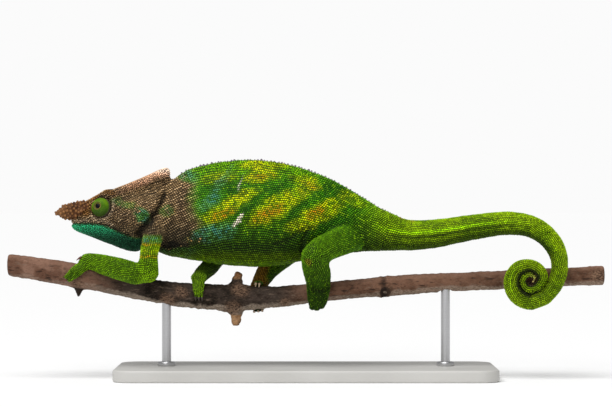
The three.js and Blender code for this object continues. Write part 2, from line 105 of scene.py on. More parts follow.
white = (0.965, 0.965, 0.965, 1)
bpy.ops.mesh.primitive_circle_add(vertices=96, radius=40, fill_type="NGON")
floor = bpy.context.object
floor.name = "studio_floor"
paper = bpy.data.materials.new("studio_paper")
paper.use_nodes = True
for key, value in (("Base Color", white), ("Roughness", 0.95), ("Specular IOR Level", 0.0)):
    paper.node_tree.nodes["Principled BSDF"].inputs[key].default_value = value
floor.data.materials.append(paper)
floor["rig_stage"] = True


def lamp(kind, label, place, aim, energy, size=None, spread=None):
    bpy.ops.object.light_add(type=kind, location=place)
    light = bpy.context.object
    light.name = label
    light.data.energy = energy
    if kind == "AREA":
        light.data.shape = "RECTANGLE"
        light.data.size, light.data.size_y = size
    else:
        light.data.angle = spread
    light.rotation_euler = (Vector(aim) - Vector(place)).to_track_quat("-Z", "Y").to_euler()


lamp("SUN", "light_sky", (-0.5, -0.9, 2.0), (0, 0, 0), 2.35, spread=math.radians(50))
lamp("AREA", "light_front", (-0.5, -1.7, 0.9), (0, 0, 0.09), 5, size=(0.5, 0.5))
air = bpy.data.worlds.new("studio_air")
bpy.context.scene.world = air
air.use_nodes = True
nodes, link = air.node_tree.nodes, air.node_tree.links.new
seen, felt = nodes.new("ShaderNodeBackground"), nodes["Background"]
seen.inputs["Color"].default_value = white
felt.inputs["Color"].default_value = (1, 1, 1, 1)
felt.inputs["Strength"].default_value = 0.34
ray, either = nodes.new("ShaderNodeLightPath"), nodes.new("ShaderNodeMixShader")
link(ray.outputs["Is Camera Ray"], either.inputs[0])
link(felt.outputs[0], either.inputs[1])
link(seen.outputs[0], either.inputs[2])
link(either.outputs[0], nodes["World Output"].inputs[0])
bpy.context.scene.view_settings.view_transform = "Standard"

# ------------------------------------------------------------------ skin
# One living skin over head, neck, trunk, legs, toes and tail. It lies inside the parted flesh by
# the depth of its scales and carries the folds of the throat, armpits, joints and toes.
scale_depth = 0.30
leg_names = ("front_left", "front_right", "hind_left", "hind_right")
arm_parts = {"front": ("upper_arm", "forearm", "hand"), "hind": ("thigh", "shank", "foot")}
flesh = {}  # node: (group, how strongly its facets are smoothed)
for node, soft in (("head", 0.34), ("lower_jaw", 0.34), ("casque", 0.16)):
    flesh[node] = ("head", soft)
for node, soft in (("neck", 0.8), ("chest", 1.0), ("belly", 1.0), ("pelvis", 1.0), ("tail_root", 0.8)):
    flesh[node] = ("trunk", soft)
for k in range(1, 9):
    flesh[f"tail_{k}"] = ("tail", 0.55 if k < 4 else 0.3)
for leg in leg_names:
    for part, soft in zip(arm_parts[leg.split("_")[0]], (0.5, 0.45, 0.25)):
        flesh[f"{part}_{leg}"] = (leg, soft)
    for bundle in ("near", "far"):
        flesh[f"toes_{bundle}_{leg}"] = (f"{bundle}_{leg}", 0.1)
groups = list(dict.fromkeys(group for group, _ in flesh.values()))
rolled = [f"tail_{k}" for k in range(3, 9)]

# Middle lines of the parts, in millimetres, and the direction across each one.
across_body, along_branch = (0, 1, 0), (1, 0, 0)
head_line = [(-158, 0, 104), (-140, 0, 106), (-120, 0, 107), (-98, 0, 110)]
trunk_line = [
    (-104, 0, 105), (-80, 0, 107), (-38, 0, 108), (0, 0, 107), (31, 0, 103), (53, 0, 96), (64, 0, 95),
]
lines = {"head": (head_line, across_body), "trunk": (trunk_line, across_body)}
# The tail as far as its coil: x, y, z, thickness.
reach = [
    (53, 0, 96.0, 11.0), (69, -0.1, 94.2, 9.8), (84, -0.6, 95.1, 9.2), (100, -1.6, 97.8, 8.6),
    (117, -3.2, 100.6, 8.1), (134, -5.4, 102.2, 7.7), (147.4, -7.4, 100.2, 7.3),
    (157.6, -9.2, 94.1, 6.9), (164.4, -11.0, 84.6, 6.2), (166.3, -12.2, 73.2, 5.7),
    (163.0, -12.8, 61.6, 5.3), (156.2, -13.0, 53.6, 5.0),
]
coil_centre = (147.4, -13.0, 64.4)
# The coil: degrees turned, distance from the middle, thickness.
coil = np.array([
    (-2, 14.0, 4.95), (45, 13.9, 4.8), (90, 13.4, 4.6), (135, 12.3, 4.1), (180, 10.6, 3.5),
    (228, 9.2, 3.2), (268, 7.9, 3.0), (296, 6.2, 2.5), (325, 5.4, 2.3), (375, 5.5, 2.35),
    (435, 5.6, 2.2), (505, 4.7, 1.7), (590, 3.0, 1.3), (690, 1.5, 0.9),
])
coil_turns = np.linspace(coil[0, 0], coil[-1, 0], 60)
for turn, far, thick in zip(coil_turns, *(np.interp(coil_turns, coil[:, 0], coil[:, k]) for k in (1, 2))):
    back, down = far * math.sin(math.radians(turn)), far * math.cos(math.radians(turn))
    reach.append((coil_centre[0] - back, coil_centre[1], coil_centre[2] - down, thick))
tail_size = [thick for *_, thick in reach]
tail_line = [place for *place, _ in reach]
lines["tail"] = (tail_line, across_body, tail_size)
# The same line drawn out sideways like a spring, so that no turn is near the next.
spring_pitch = 14
drawn_out = [0.0] * (len(reach) - len(coil_turns)) + list(-spring_pitch * np.clip(coil_turns, 0, None) / 360)
spring = [(px, py + d, pz) for (px, py, pz), d in zip(tail_line, drawn_out)]
lines["spring"] = (spring, across_body, tail_size)
# The branch: x, height of its middle, radius.
branch_line = np.array([
    (-197, 74.8, 7.9), (-172, 71.3, 8.3), (-154, 68.2, 9.0), (-138, 65.4, 8.6), (-118, 60.8, 8.2),
    (-98, 57.0, 8.0), (-82, 54.9, 8.9), (-64, 53.4, 8.7), (-46, 52.6, 9.7), (-30, 52.9, 7.7),
    (-11, 54.3, 7.0), (25, 58.2, 6.8), (55, 60.8, 7.3), (90, 63.0, 6.8), (130, 64.8, 6.7),
    (170, 66.8, 6.7), (197, 67.8, 7.2),
])


def branch_height(x):
    return np.interp(x, branch_line[:, 0], branch_line[:, 1])


def branch_radius(x):
    return np.interp(x, branch_line[:, 0], branch_line[:, 2])


def on_branch(x, degrees, clear):
    radius = branch_radius(x) + clear
    a = math.radians(degrees)
    return (x, -radius * math.sin(a), branch_height(x) + radius * math.cos(a))


# Shoulder, elbow and wrist; palm: x, degrees, clearance; each bundle of toes: from x and degrees
# to x and degrees, how many toes, how far apart, how thick.
legs = {
    "front_left": (
        [(-95.5, -8, 102), (-102.2, -26, 72), (-126.5, -14, 73.8)], (-142.5, 30, 4.4),
        (-144.2, 42, -156.2, 103, 2, 4.8, 2.7), (-141.8, 4, -145.6, -98, 3, 3.4, 2.1),
    ),
    "front_right": (
        [(-82, 8, 101), (-56, 26, 86.5), (-64.6, 13, 72.4)], (-70.6, 8, 3.8),
        (-70.8, 22, -70.4, 86, 3, 3.3, 2.0), (-70.6, -10, -69.8, -106, 2, 3.6, 2.2),
    ),
    "hind_left": (
        [(33, -5, 94), (5.3, -31.2, 81.5), (7.9, -16, 67)], (8.0, 52, 4.3),
        (8.2, 64, 7.2, 160, 3, 6.0, 3.2), (8.2, 30, 8.0, -84, 2, 4.6, 2.5),
    ),
    "hind_right": (
        [(31, 5, 94.5), (-9.5, 29, 84), (-25.5, 17, 71)], (-31.0, -46, 3.8),
        (-31.2, -36, -31.8, 6, 2, 3.6, 1.9), (-31.0, -62, -31.6, -152, 3, 4.2, 2.4),
    ),
}


# A point of a bundle of toes: how far along it, as a share up to 1 and then in millimetres past
# its end, how far to its side, how high over the bark.
def toe_spot(bundle, far, aside, clear):
    x0, a0, x1, a1, _, _, thick = bundle
    per_degree = math.radians(branch_radius((x0 + x1) / 2) + thick)
    run = Vector((x1 - x0, (a1 - a0) * per_degree))
    long = run.length
    run /= long
    far = far * long if far <= 1 else long + far - 1
    at_x = x0 + run.x * far - run.y * aside
    return on_branch(at_x, a0 + (run.y * far + run.x * aside) / per_degree, clear + 0.3)


for leg, (joints, palm, near, far) in legs.items():
    shoulder, elbow, wrist = (Vector(j) for j in joints)
    hinge = (elbow - shoulder).cross(wrist - elbow).normalized()
    lines[leg] = (joints + [on_branch(*palm)], tuple(hinge))
    for label, bundle in (("near", near), ("far", far)):
        toes_line = [toe_spot(bundle, share, 0, bundle[-1]) for share in np.linspace(0, 1, 9)]
        lines[f"{label}_{leg}"] = (toes_line, along_branch)


# Where each point lies on its part: along the middle line, round it, how far from it and which way
# the line leads. A line with thicknesses is chosen by them, so that a coil's turns don't mix.
def chart(points, name):
    line, across, *sizes = lines[name]
    line, across = np.array(line, float), np.array(across, float)
    sizes = np.array(sizes[0] if sizes else np.ones(len(line)))
    lengths = np.linalg.norm(np.diff(line, axis=0), axis=1)
    starts = np.concatenate([[0], np.cumsum(lengths)])
    tangents = np.diff(line, axis=0) / lengths[:, None]
    at_knots = np.vstack([tangents[:1], tangents[:-1] + tangents[1:], tangents[-1:]])
    at_knots /= np.linalg.norm(at_knots, axis=1)[:, None]
    best = np.full(len(points), 1e9)
    along, nearest = np.zeros(len(points)), np.zeros(len(points))
    foot, lead = np.zeros((len(points), 3)), np.zeros((len(points), 3))
    for k, tangent in enumerate(tangents):
        share = (points - line[k]) @ tangent / lengths[k]
        share = np.clip(share, 0 if k else -9, 1 if k < len(tangents) - 1 else 9)
        here = line[k] + share[:, None] * lengths[k] * tangent
        far = np.linalg.norm(points - here, axis=1)
        mix = np.clip(share, 0, 1)
        rank = far / (sizes[k] * (1 - mix) + sizes[k + 1] * mix)
        better = rank < best
        best[better], nearest[better] = rank[better], far[better]
        along[better] = starts[k] + (share * lengths[k])[better]
        foot[better] = here[better]
        lead[better] = (at_knots[k] * (1 - mix)[:, None] + at_knots[k + 1] * mix[:, None])[better]
    lead /= np.linalg.norm(lead, axis=1)[:, None]
    side = across - (lead @ across)[:, None] * lead
    side /= np.linalg.norm(side, axis=1)[:, None]
    out = points - foot
    angle = np.arctan2(np.sum(out * side, 1), np.sum(out * np.cross(lead, side), 1))
    return along, angle, nearest, lead, foot


# Sideways shift of points of the coil, read along the flat line or along the spring.
def shift_of(points, name):
    flat = np.array(lines[name][0], float)
    knots = np.concatenate([[0], np.cumsum(np.linalg.norm(np.diff(flat, axis=0), axis=1))])
    return np.interp(chart(points, name)[0], knots, drawn_out)


# Joined copy of nodes, each a little fatter so that they run into each other. The tail's coil is
# drawn out sideways, so that its turns stay apart.
def joined_copy(names, swell):
    bpy.ops.object.select_all(action="DESELECT")
    for name in names:
        copy = frame["nodes"][name].copy()
        copy.data = copy.data.copy()
        copy.parent = None
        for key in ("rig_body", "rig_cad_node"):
            if key in copy:
                del copy[key]
        bpy.context.collection.objects.link(copy)
        copy.select_set(True)
        bpy.context.view_layer.objects.active = copy
        bpy.ops.object.mode_set(mode="EDIT")
        bpy.ops.mesh.select_all(action="SELECT")
        bpy.ops.mesh.remove_doubles(threshold=0.000002)
        bpy.ops.object.mode_set(mode="OBJECT")
        place = read(copy.data, "co") + read(copy.data, "normal") * swell * mm
        if name in rolled:
            place[:, 1] += shift_of(read(copy.data, "co") / mm, "tail") * mm
        write(copy.data, place)
    bpy.ops.object.join()
    whole = bpy.context.object
    whole.data.materials.clear()
    return whole


def read(mesh, what):
    values = np.zeros(len(mesh.vertices) * 3)
    mesh.vertices.foreach_get(what, values)
    return values.reshape(-1, 3)


def write(mesh, places):
    mesh.vertices.foreach_set("co", np.asarray(places, float).ravel())
    mesh.update()

def apply_modifier(piece, kind, **settings):
    modifier = piece.modifiers.new(kind.lower(), kind)
    for key, value in settings.items():
        setattr(modifier, key, value)
    bpy.context.view_layer.objects.active = piece
    bpy.ops.object.modifier_apply(modifier=modifier.name)


# One closed shell round overlapping pieces, in even squares.
def in_one_shell(piece, name, square):
    piece.name = piece.data.name = name
    settings = {"mode": "VOXEL", "voxel_size": square * mm, "adaptivity": 0, "use_smooth_shade": True}
    apply_modifier(piece, "REMESH", **settings)


fatten = 0.30
skin = joined_copy(flesh, fatten)
in_one_shell(skin, "skin", 0.95)

# The part each point of the skin belongs to.
corners, sides, owners = [], [], []
for index, name in enumerate(flesh):
    mesh = frame["nodes"][name].data
    start = len(corners)
    points = read(mesh, "co")
    if name in rolled:
        points[:, 1] += shift_of(points / mm, "tail") * mm
    corners += points.tolist()
    sides += [[start + v for v in p.vertices] for p in mesh.polygons]
    owners += [index] * len(mesh.polygons)
tree = bvhtree.BVHTree.FromPolygons(corners, sides)
start_place = read(skin.data, "co")
owner = np.array([owners[tree.find_nearest(Vector(p))[2]] for p in start_place])
group_of = np.array([groups.index(group) for group, _ in flesh.values()])[owner]
flesh_soft = np.array([soft for _, soft in flesh.values()])
edges = np.zeros(len(skin.data.edges) * 2, int)
skin.data.edges.foreach_get("vertices", edges)
edges = edges.reshape(-1, 2)
count = len(start_place)
valence = np.bincount(edges.ravel(), minlength=count)[:, None]


def spread(values):
    out = np.zeros_like(values)
    for k in range(values.shape[1]):
        out[:, k] = np.bincount(edges[:, 0], values[edges[:, 1], k], count)
        out[:, k] += np.bincount(edges[:, 1], values[edges[:, 0], k], count)
    return out / valence


def relax(values, rounds, weight=0.5):
    for _ in range(rounds):
        values = values + weight * (spread(values) - values)
    return values


def soften(mask, rounds):
    return relax(np.asarray(mask, float)[:, None], rounds)[:, 0]


# Facets are smoothed away and the form that this loses is put back, less the depth of the scales.
softness = relax(flesh_soft[owner][:, None], 12)
in_coil = np.isin(owner, [index for index, name in enumerate(flesh) if name in rolled])
start_place[in_coil, 1] -= shift_of(start_place[in_coil] / mm, "spring") * mm
place = relax(start_place.copy(), 60, 0.6 * softness)
write(skin.data, place)
normal = read(skin.data, "normal")
lost = np.sum((start_place - place) * normal, 1, keepdims=True)
place = place + normal * (relax(lost, 14) - (fatten + scale_depth) * mm)
write(skin.data, place)

normal = read(skin.data, "normal")
place_mm = place / mm
member = {name: soften(group_of == g, 3) for g, name in enumerate(groups)}
head, trunk, tail = member["head"], member["trunk"], member["tail"]


def smoothstep(low, high, value):
    t = np.clip((value - low) / (high - low), 0, 1)
    return t * t * (3 - 2 * t)


# Distance in the side view from a run of points, each an x and a height.
def from_line(points, run):
    nearest = np.full(len(points), 1e9)
    flat = points[:, [0, 2]]
    for (x0, z0), (x1, z1) in zip(run, run[1:]):
        step = np.array([x1 - x0, z1 - z0])
        share = np.clip((flat - (x0, z0)) @ step / (step @ step), 0, 1)
        nearest = np.minimum(nearest, np.linalg.norm(flat - (x0, z0) - share[:, None] * step, axis=1))
    return nearest


flank = np.clip(np.abs(place_mm[:, 1]) / 4.0, 0, 1)
gular = [(-93.1, 121.4), (-96.4, 113.5), (-98.3, 108.2), (-103.0, 104.3), (-106.3, 101.0), (-110.2, 95.7)]
mouth = [(-158, 101.9), (-150, 101.9), (-136, 101.8), (-130, 100.9), (-122, 96.6), (-115, 94.0)]
brow = [(-144.5, 116.4), (-141.5, 119.6), (-138.0, 121.4), (-133.3, 122.2), (-127.5, 122.0)]
temple = [(-128.0, 120.1), (-119.5, 122.1), (-106.3, 125.4), (-96.4, 126.7), (-90.4, 130.0)]
under_temple = [(-124.0, 117.6), (-116.0, 118.8), (-106.0, 121.0), (-99.0, 121.6)]
helmet_edge = [(-124.9, 124.5), (-116.2, 128.0), (-106.3, 132.0), (-97.7, 136.0), (-91.2, 137.4)]
# Ridges, and folds painted dark as shade: run, width, lift, whose skin, how dark the painted shade is.
relief = [
    (gular, 1.7, -2.2, (head + trunk) * flank, 1.0),
    ([(px - 3.0, pz - 1.4) for px, pz in gular], 2.0, 1.1, head * flank, 0),
    (brow, 1.8, 1.6, head, 0),
    (temple, 1.4, 0.9, head * flank, 0),
    (under_temple, 1.3, -0.5, head * flank, 0.5),
    (helmet_edge, 1.1, 0.7, head, 0),
    (mouth, 0.75, -0.9, head, 1.0),
    ([(px, pz + 1.7) for px, pz in mouth[:-1]], 0.9, 0.4, head, 0),
    ([(px, pz - 1.6) for px, pz in mouth[:-1]], 0.9, 0.35, head, 0),
]
for deep, run in (
    (0.7, [(-88.4, 120.1), (-87.1, 107.6), (-89.8, 96.4)]),
    (0.5, [(-83.8, 121.4), (-81.8, 108.2), (-83.2, 96.4)]),
    (0.3, [(-78.5, 120.1), (-76.6, 107.6), (-77.2, 97.7)]),
    (1.3, [(-95.0, 88.5), (-90.0, 86.6), (-84.0, 88.0), (-78.0, 88.2)]),
    (1.0, [(-2.0, 97.7), (-10.6, 92.4), (-19.8, 89.1)]),
    (1.0, [(2.0, 99.0), (-2.0, 92.0), (-3.0, 84.0)]),
):
    relief.append((run, 1.5, -deep, trunk * flank, 0.6 * min(deep, 1.2)))
crease_shade, lift = np.zeros(count), np.zeros(count)
for run, width, height, where, dark in relief:
    amount = np.exp(-((from_line(place_mm, run) / width) ** 2)) * where
    lift += amount * height
    crease_shade = np.maximum(crease_shade, amount * dark)


def ring(distance, at, width):
    return np.exp(-((distance - at) / width) ** 2)


# Each eye turret stands in a groove with a raised rim; the groove is painted dark as shade.
eyes, socket = {}, np.zeros(count)
for side in (-1, 1):
    gaze = Vector((-0.36, 0.9 * side, 0.22)).normalized()
    eyes[side] = (np.array((-134.4, 8.9 * side, 112.4)), np.array(gaze))
    out = place_mm - eyes[side][0]
    height = out @ eyes[side][1]
    wide = np.linalg.norm(out - height[:, None] * eyes[side][1], axis=1)
    near = head * (place_mm[:, 1] * side > 0)
    lift += near * (-1.5 * ring(wide, 6.2, 1.2) + 0.8 * ring(wide, 8.6, 1.3))
    crease_shade = np.maximum(crease_shade, near * 0.9 * ring(wide, 6.4, 0.9))
    below = smoothstep(1.0, -3.0, out[:, 2] - 0.7 * out[:, 0])
    socket = np.maximum(socket, near * ring(wide, 8.2, 0.9) * below)
# Grooves between the bound toes, whose free tips are narrower than the bundle. The grooves are painted dark
# as shade.
for leg, (_, _, *bundles) in legs.items():
    for label, bundle in zip(("near", "far"), bundles):
        mine = group_of == groups.index(f"{label}_{leg}")
        toes, apart = bundle[4:6]
        far, angle, radius, *_ = chart(place_mm[mine], f"{label}_{leg}")
        aside, share = radius * np.sin(angle), far / far.max()
        apart = apart * (1 - 0.36 * np.clip(share, 0, 1))
        cleft = sum(ring(aside, (i - (toes - 2) / 2) * apart, 0.75) for i in range(toes - 1))
        cleft = cleft * np.clip(share * 1.8 - 0.5, 0, 1)
        lift[mine] -= 0.75 * cleft
        at_tip, side_share = smoothstep(0.66, 1.0, share), np.abs(aside) / np.abs(aside).max()
        lift[mine] -= (1.1 if toes < 3 else 1.8) * at_tip * smoothstep(0.45, 1.0, side_share)
        if (label, leg) == ("near", "hind_left"):
            lift[mine] += 2.0 * at_tip * smoothstep(0.8, 0.1, side_share)
        crease_shade[mine] = np.maximum(crease_shade[mine], 0.55 * cleft)
# The tail is round all through its coil, and tapers evenly.
knots = np.concatenate([[0], np.cumsum(np.linalg.norm(np.diff(np.array(tail_line), axis=0), axis=1))])
far, _, radius, _, foot = chart(place_mm[in_coil], "tail")
round_size = np.interp(far, knots, tail_size) - scale_depth
rounded = smoothstep(knots[9], knots[12], far) * (far < knots[-1] - 0.8)
exact = (1 + rounded * (round_size / np.maximum(radius, 0.3) - 1))[:, None]
place_mm[in_coil] = foot + (place_mm[in_coil] - foot) * exact
# Each turn lies against the next, with a groove between that is painted dark as shade.
turned = np.interp(far, knots[-len(coil_turns) :], coil_turns, left=-40)
turns_table = np.vstack([[(-90, 19.0, 5.7), (-62, 15.8, 5.3), (-35, 14.1, 5.05)], coil])


def coil_away(turn):
    return np.interp(turn, turns_table[:, 0], turns_table[:, 1])


def coil_size(turn):
    return np.interp(turn, turns_table[:, 0], turns_table[:, 2])


def coil_gap(turn):
    return coil_away(turn) - coil_size(turn) - coil_away(turn + 360) - coil_size(turn + 360)


from_centre = np.hypot(place_mm[in_coil, 0] - coil_centre[0], place_mm[in_coil, 2] - coil_centre[2])
beside = (from_centre - coil_away(turned)) / coil_size(turned)
inward = smoothstep(0.25, 0.90, -beside) * 0.5 * smoothstep(0, 30, turned) * (turned < 330)
inner_turns = smoothstep(286, 306, turned) - 0.5 * smoothstep(360, 390, turned)
outward = smoothstep(0.25, 0.90, beside) * inner_turns
lift[in_coil] += inward * (coil_gap(turned) + 0.5) + outward * (coil_gap(turned - 360) + 0.5)
inner_side = smoothstep(-30, 10, turned) * (beside < 0) * (turned < 640)
outer_side = smoothstep(290, 320, turned) * (beside > 0)
groove = smoothstep(0.50, 0.80, np.abs(beside)) * np.maximum(inner_side, outer_side)
crease_shade[in_coil] = np.maximum(crease_shade[in_coil], groove)
# The skin is never quite even, and the ribs show a little.
ripple = np.array([noise.noise(Vector(p) / 9.0) + 0.5 * noise.noise(Vector(p) / 4.0) for p in place_mm])
lift += 0.28 * ripple * trunk + 0.12 * ripple * (1 - trunk)
rib_spacing = 7.5
lift += 0.10 * np.cos(place_mm[:, 0] / rib_spacing * 2 * math.pi + 0.05 * place_mm[:, 2]) * trunk * flank
place_mm = place_mm + normal * lift[:, None]
place = place_mm * mm
write(skin.data, place)


class Girth:
    """Arc lengths round a part, counted from the middle of its back down each side."""

    def __init__(self, along, angle, radius, step=2.5, spokes=48):
        self.first, self.step, self.spokes = along.min(), step, spokes
        rows = int((along.max() - along.min()) / step) + 2
        row = ((along - self.first) / step).astype(int)
        spoke = np.clip(((angle / math.pi + 1) / 2 * spokes).astype(int), 0, spokes - 1)
        total = np.bincount(row * spokes + spoke, radius, rows * spokes)
        hits = np.bincount(row * spokes + spoke, minlength=rows * spokes)
        grid = np.where(hits > 0, total / np.maximum(hits, 1), 0).reshape(rows, spokes)
        known = (hits > 0).reshape(rows, spokes).astype(float)
        for _ in range(10):
            blur, weight = grid * 2, known * 2
            for shift in (1, -1):
                blur = blur + np.roll(grid, shift, 1)
                weight = weight + np.roll(known, shift, 1)
            for to, at in ((slice(1, None), slice(-1)), (slice(-1), slice(1, None))):
                blur[to] += grid[at]
                weight[to] += known[at]
            grid = np.where(weight > 0, blur / np.maximum(weight, 1e-9), 0)
            known = (weight > 0).astype(float)
        grid = np.where(known > 0, grid, float(radius.mean()))
        half = spokes // 2
        arc = grid * (2 * math.pi / spokes)
        self.arcs = np.zeros((rows, spokes + 1))
        self.arcs[:, half + 1 :] = np.cumsum(arc[:, half:], 1)
        self.arcs[:, :half] = -np.cumsum(arc[:, :half][:, ::-1], 1)[:, ::-1]

    def arc(self, along, angle):
        row = np.clip((along - self.first) / self.step - 0.5, 0, len(self.arcs) - 1.001)
        spoke = np.clip((angle / math.pi + 1) / 2 * self.spokes, 0, self.spokes - 0.001)
        i, j = row.astype(int), spoke.astype(int)
        u, v = row - i, spoke - j
        first, second = (self.arcs[i + n, j] * (1 - v) + self.arcs[i + n, j + 1] * v for n in (0, 1))
        return first * (1 - u) + second * u


normal = read(skin.data, "normal")
place_mm = place / mm
faces = np.zeros(len(skin.data.loops), int)
skin.data.loops.foreach_get("vertex_index", faces)
faces = faces.reshape(-1, 4)
face_group = group_of[faces[:, 0]]
along, round_ = np.zeros(count), np.zeros(count)
face_along, face_arc = np.zeros(faces.shape), np.zeros(faces.shape)
for g, name in enumerate(groups):
    mine = group_of == g
    far, angle, radius, *_ = chart(place_mm[mine], name)
    girth = Girth(far, angle, radius)
    along[mine], round_[mine] = far, angle
    these = face_group == g
    far, angle, *_ = chart(place_mm[faces[these]].reshape(-1, 3), name)
    round_arc = girth.arc(far, angle).reshape(-1, 4)
    whole_turn = girth.arc(far, np.full(len(far), math.pi)) - girth.arc(far, np.full(len(far), -math.pi))
    angle = angle.reshape(-1, 4)
    over_seam = (angle.max(1) - angle.min(1)) > math.pi
    round_arc = np.where(over_seam[:, None] & (angle < 0), round_arc + whole_turn.reshape(-1, 4), round_arc)
    face_along[these], face_arc[these] = far.reshape(-1, 4), round_arc

# The skin's own unwrap: each part's strip, laid side by side on shelves, the tallest first.
uv_per_mm, uv_margin = 1 / 430.0, 0.01
strips = []
for g in range(len(groups)):
    far, girth = face_along[face_group == g], face_arc[face_group == g]
    strips.append((girth.max() - girth.min(), g, far.min(), far.max(), girth.min()))
face_uv = np.zeros(faces.shape + (2,))
u, v, shelf = uv_margin, uv_margin, 0.0
for tall, g, a0, a1, b0 in sorted(strips, reverse=True):
    these = face_group == g
    wide = (a1 - a0) * uv_per_mm
    if u + wide > 1 - uv_margin:
        u, v, shelf = uv_margin, v + shelf + uv_margin, 0.0
    face_uv[these, :, 0] = face_along[these] * uv_per_mm + (u - a0 * uv_per_mm)
    face_uv[these, :, 1] = face_arc[these] * uv_per_mm + (v - b0 * uv_per_mm)
    u += wide + uv_margin
    shelf = max(shelf, tall * uv_per_mm)

# Markings, as soft masks over the skin: where each colour of the living animal lies, and where shade is
# painted dark.
# Their edges wander with two sizes of noise.
x, y, z = place_mm.T
noise.seed_set(5)
coarse, fine = (np.array([noise.noise_vector(Vector(p) / size) for p in place_mm]) for size in (6.0, 2.2))
wander = coarse * 2.2 + fine * 0.8
wx, wz = x + wander[:, 0], z + wander[:, 2]


def blotch(cx, cz, long, wide, lean, sharp=0.35):
    a = math.radians(lean)
    u = (wx - cx) * math.cos(a) + (wz - cz) * math.sin(a)
    v = (wz - cz) * math.cos(a) - (wx - cx) * math.sin(a)
    return 1 - smoothstep(1 - sharp, 1 + sharp, np.sqrt((u / long) ** 2 + (v / wide) ** 2))


def any_of(*masks):
    out = np.zeros(count)
    for mask in masks:
        out = np.maximum(out, mask)
    return out


# Blotches by strength, x, height, half length, half width and lean.
def blotches(*rows):
    return any_of(*(strength * blotch(*shape) for strength, *shape in rows))


def bar(height, wide):
    return np.exp(-(((z - height + 0.25 * wander[:, 2]) / wide) ** 2))


limb = sum(member[leg] for leg in leg_names)
limb = limb + sum(member[f"{bundle}_{leg}"] for leg in leg_names for bundle in ("near", "far"))
arm = member["front_left"] + member["front_right"]
left_side, body_and_tail = y < 0, trunk + tail
toward_tail = smoothstep(34, 74, x)
lateral = np.abs(round_) / math.pi
marks = {}
marks["yellow"] = trunk * blotches(
    (1, -49.2, 113.7, 19.8, 5.4, 30), (1, -17.2, 113.7, 21.1, 7.0, 28), (0.85, 6.4, 107.1, 18.5, 6.0, 25),
    (1.1, -29.0, 133.2, 11.0, 3.8, 8), (1, 0.7, 128.7, 10.6, 4.6, -15), (1, 15.8, 114.2, 5.9, 3.3, 0),
    (1.25, -27.7, 140.6, 15.2, 3.8, 0), (0.7, -58.1, 132.0, 11.9, 4.0, 10), (0.6, 30, 118, 10, 4, -30),
)
marks["ochre"] = trunk * blotches(
    (1, -53.5, 108.9, 9.2, 3.6, 25), (1, -24.1, 108.6, 11.2, 4.2, 25), (1, 7.3, 109.2, 7.3, 3.6, 25),
    (0.8, -27.7, 133.3, 7.9, 2.2, 5), (0.8, 3.3, 126.7, 7.3, 2.4, -20),
)
teal_neck = blotches(
    (0.8, -56.5, 128.0, 13.5, 2.6, 54), (0.85, -62.5, 116.5, 8.0, 4.3, 35),
    (0.7, -77.9, 132.7, 7.3, 4.0, -20), (1, -60.7, 95.7, 15.8, 5.9, 10),
    (0.9, -83.2, 83.2, 13.2, 3.0, -5), (0.5, -91.1, 110.2, 5.3, 3.3, 0),
)
teal_cheek = blotches((0.95, -106.6, 106.6, 8.2, 3.9, -42), (0.55, -120.0, 115.0, 8.5, 3.0, -14))
marks["teal"] = trunk * teal_neck + head * teal_cheek
# Brown covers the head and, as far as an edge behind the shoulder, the neck.
edge_z = [84.5, 87.1, 92.4, 97.7, 106.3, 119.5, 127.4, 133.3]
edge_x = np.interp(z, edge_z, [-85.8, -76.6, -66.7, -68.0, -71.9, -74.6, -72.6, -79.2])
shoulder = smoothstep(6.0, -6.0, wx - edge_x + 0.6 * wander[:, 0]) * trunk * smoothstep(84, 88, wz + 1.5)
throat_top = np.interp(x, [-157, -136, -130, -122, -112, -104], [101.6, 101.6, 99.6, 96.0, 92.5, 93.0])
throat = head * smoothstep(1.0, -1.0, wz * 0.3 + z * 0.7 - throat_top)
marks["brown"] = np.clip(shoulder + head * (1 - throat), 0, 1)
marks["throat"] = throat
# The belly: the underside of the body and of the tail, painted dark as shade under the body.
under = smoothstep(0.56, 0.78, lateral + 0.01 * wander[:, 2])
belly = trunk * smoothstep(100, 86, z + 0.5 * wander[:, 2]) * (1 - 0.35 * smoothstep(82, 76, z))
belly = belly * (1 - toward_tail) + body_and_tail * toward_tail * under * smoothstep(470, 320, along)
marks["belly"] = np.maximum(belly, 0.40 * tail * smoothstep(84, 74, z))
# A pale stripe and a dark seam run along each side of the tail.
marks["stripe"] = body_and_tail * toward_tail * ring(lateral, 0.44, 0.035) * smoothstep(150, 110, x)
marks["seam"] = body_and_tail * toward_tail * ring(lateral, 0.56, 0.045) * smoothstep(160, 120, x)
marks["deep"] = trunk * blotches(
    (1, -38.3, 112.9, 13.0, 3.2, 42), (1, -5.3, 110.5, 12.0, 3.2, 45), (0.8, -13.9, 128.4, 10.0, 2.2, 25),
    (0.9, 17.0, 100.5, 13.0, 4.5, 20), (0.7, 18.0, 124.0, 9.0, 2.4, -30), (0.6, -62.0, 126.0, 9.0, 3.0, 20),
)
marks["rust"] = head * blotches(
    (1, -139.5, 119.5, 5.5, 2.6, 42), (0.8, -146, 112, 6.0, 5.0, 0), (0.5, -128.7, 122.4, 4, 1.6, 10),
)
helmet_top = np.interp(x, [-132, -125, -116, -106, -98, -91], [121.0, 124.5, 128.0, 132.0, 136.0, 138.0])
marks["tan"] = head * smoothstep(-6.5, -2.5, wz * 0.5 + z * 0.5 - helmet_top) * smoothstep(-128, -112, x)
marks["tan"] = marks["tan"] * (1 - 0.45 * smoothstep(0.75, 0.95, normal[:, 2]))
flank_spot, back_spot = blotch(-44.0, 104.6, 5.2, 1.5, 46, 0.25), blotch(-42.6, 128.0, 4.8, 0.7, 78, 0.4)
marks["white"] = trunk * left_side * np.maximum(flank_spot, 0.45 * back_spot)
lip_line = np.interp(x, [-157, -136, -130, -122], [103.6, 103.6, 102.8, 98.6])
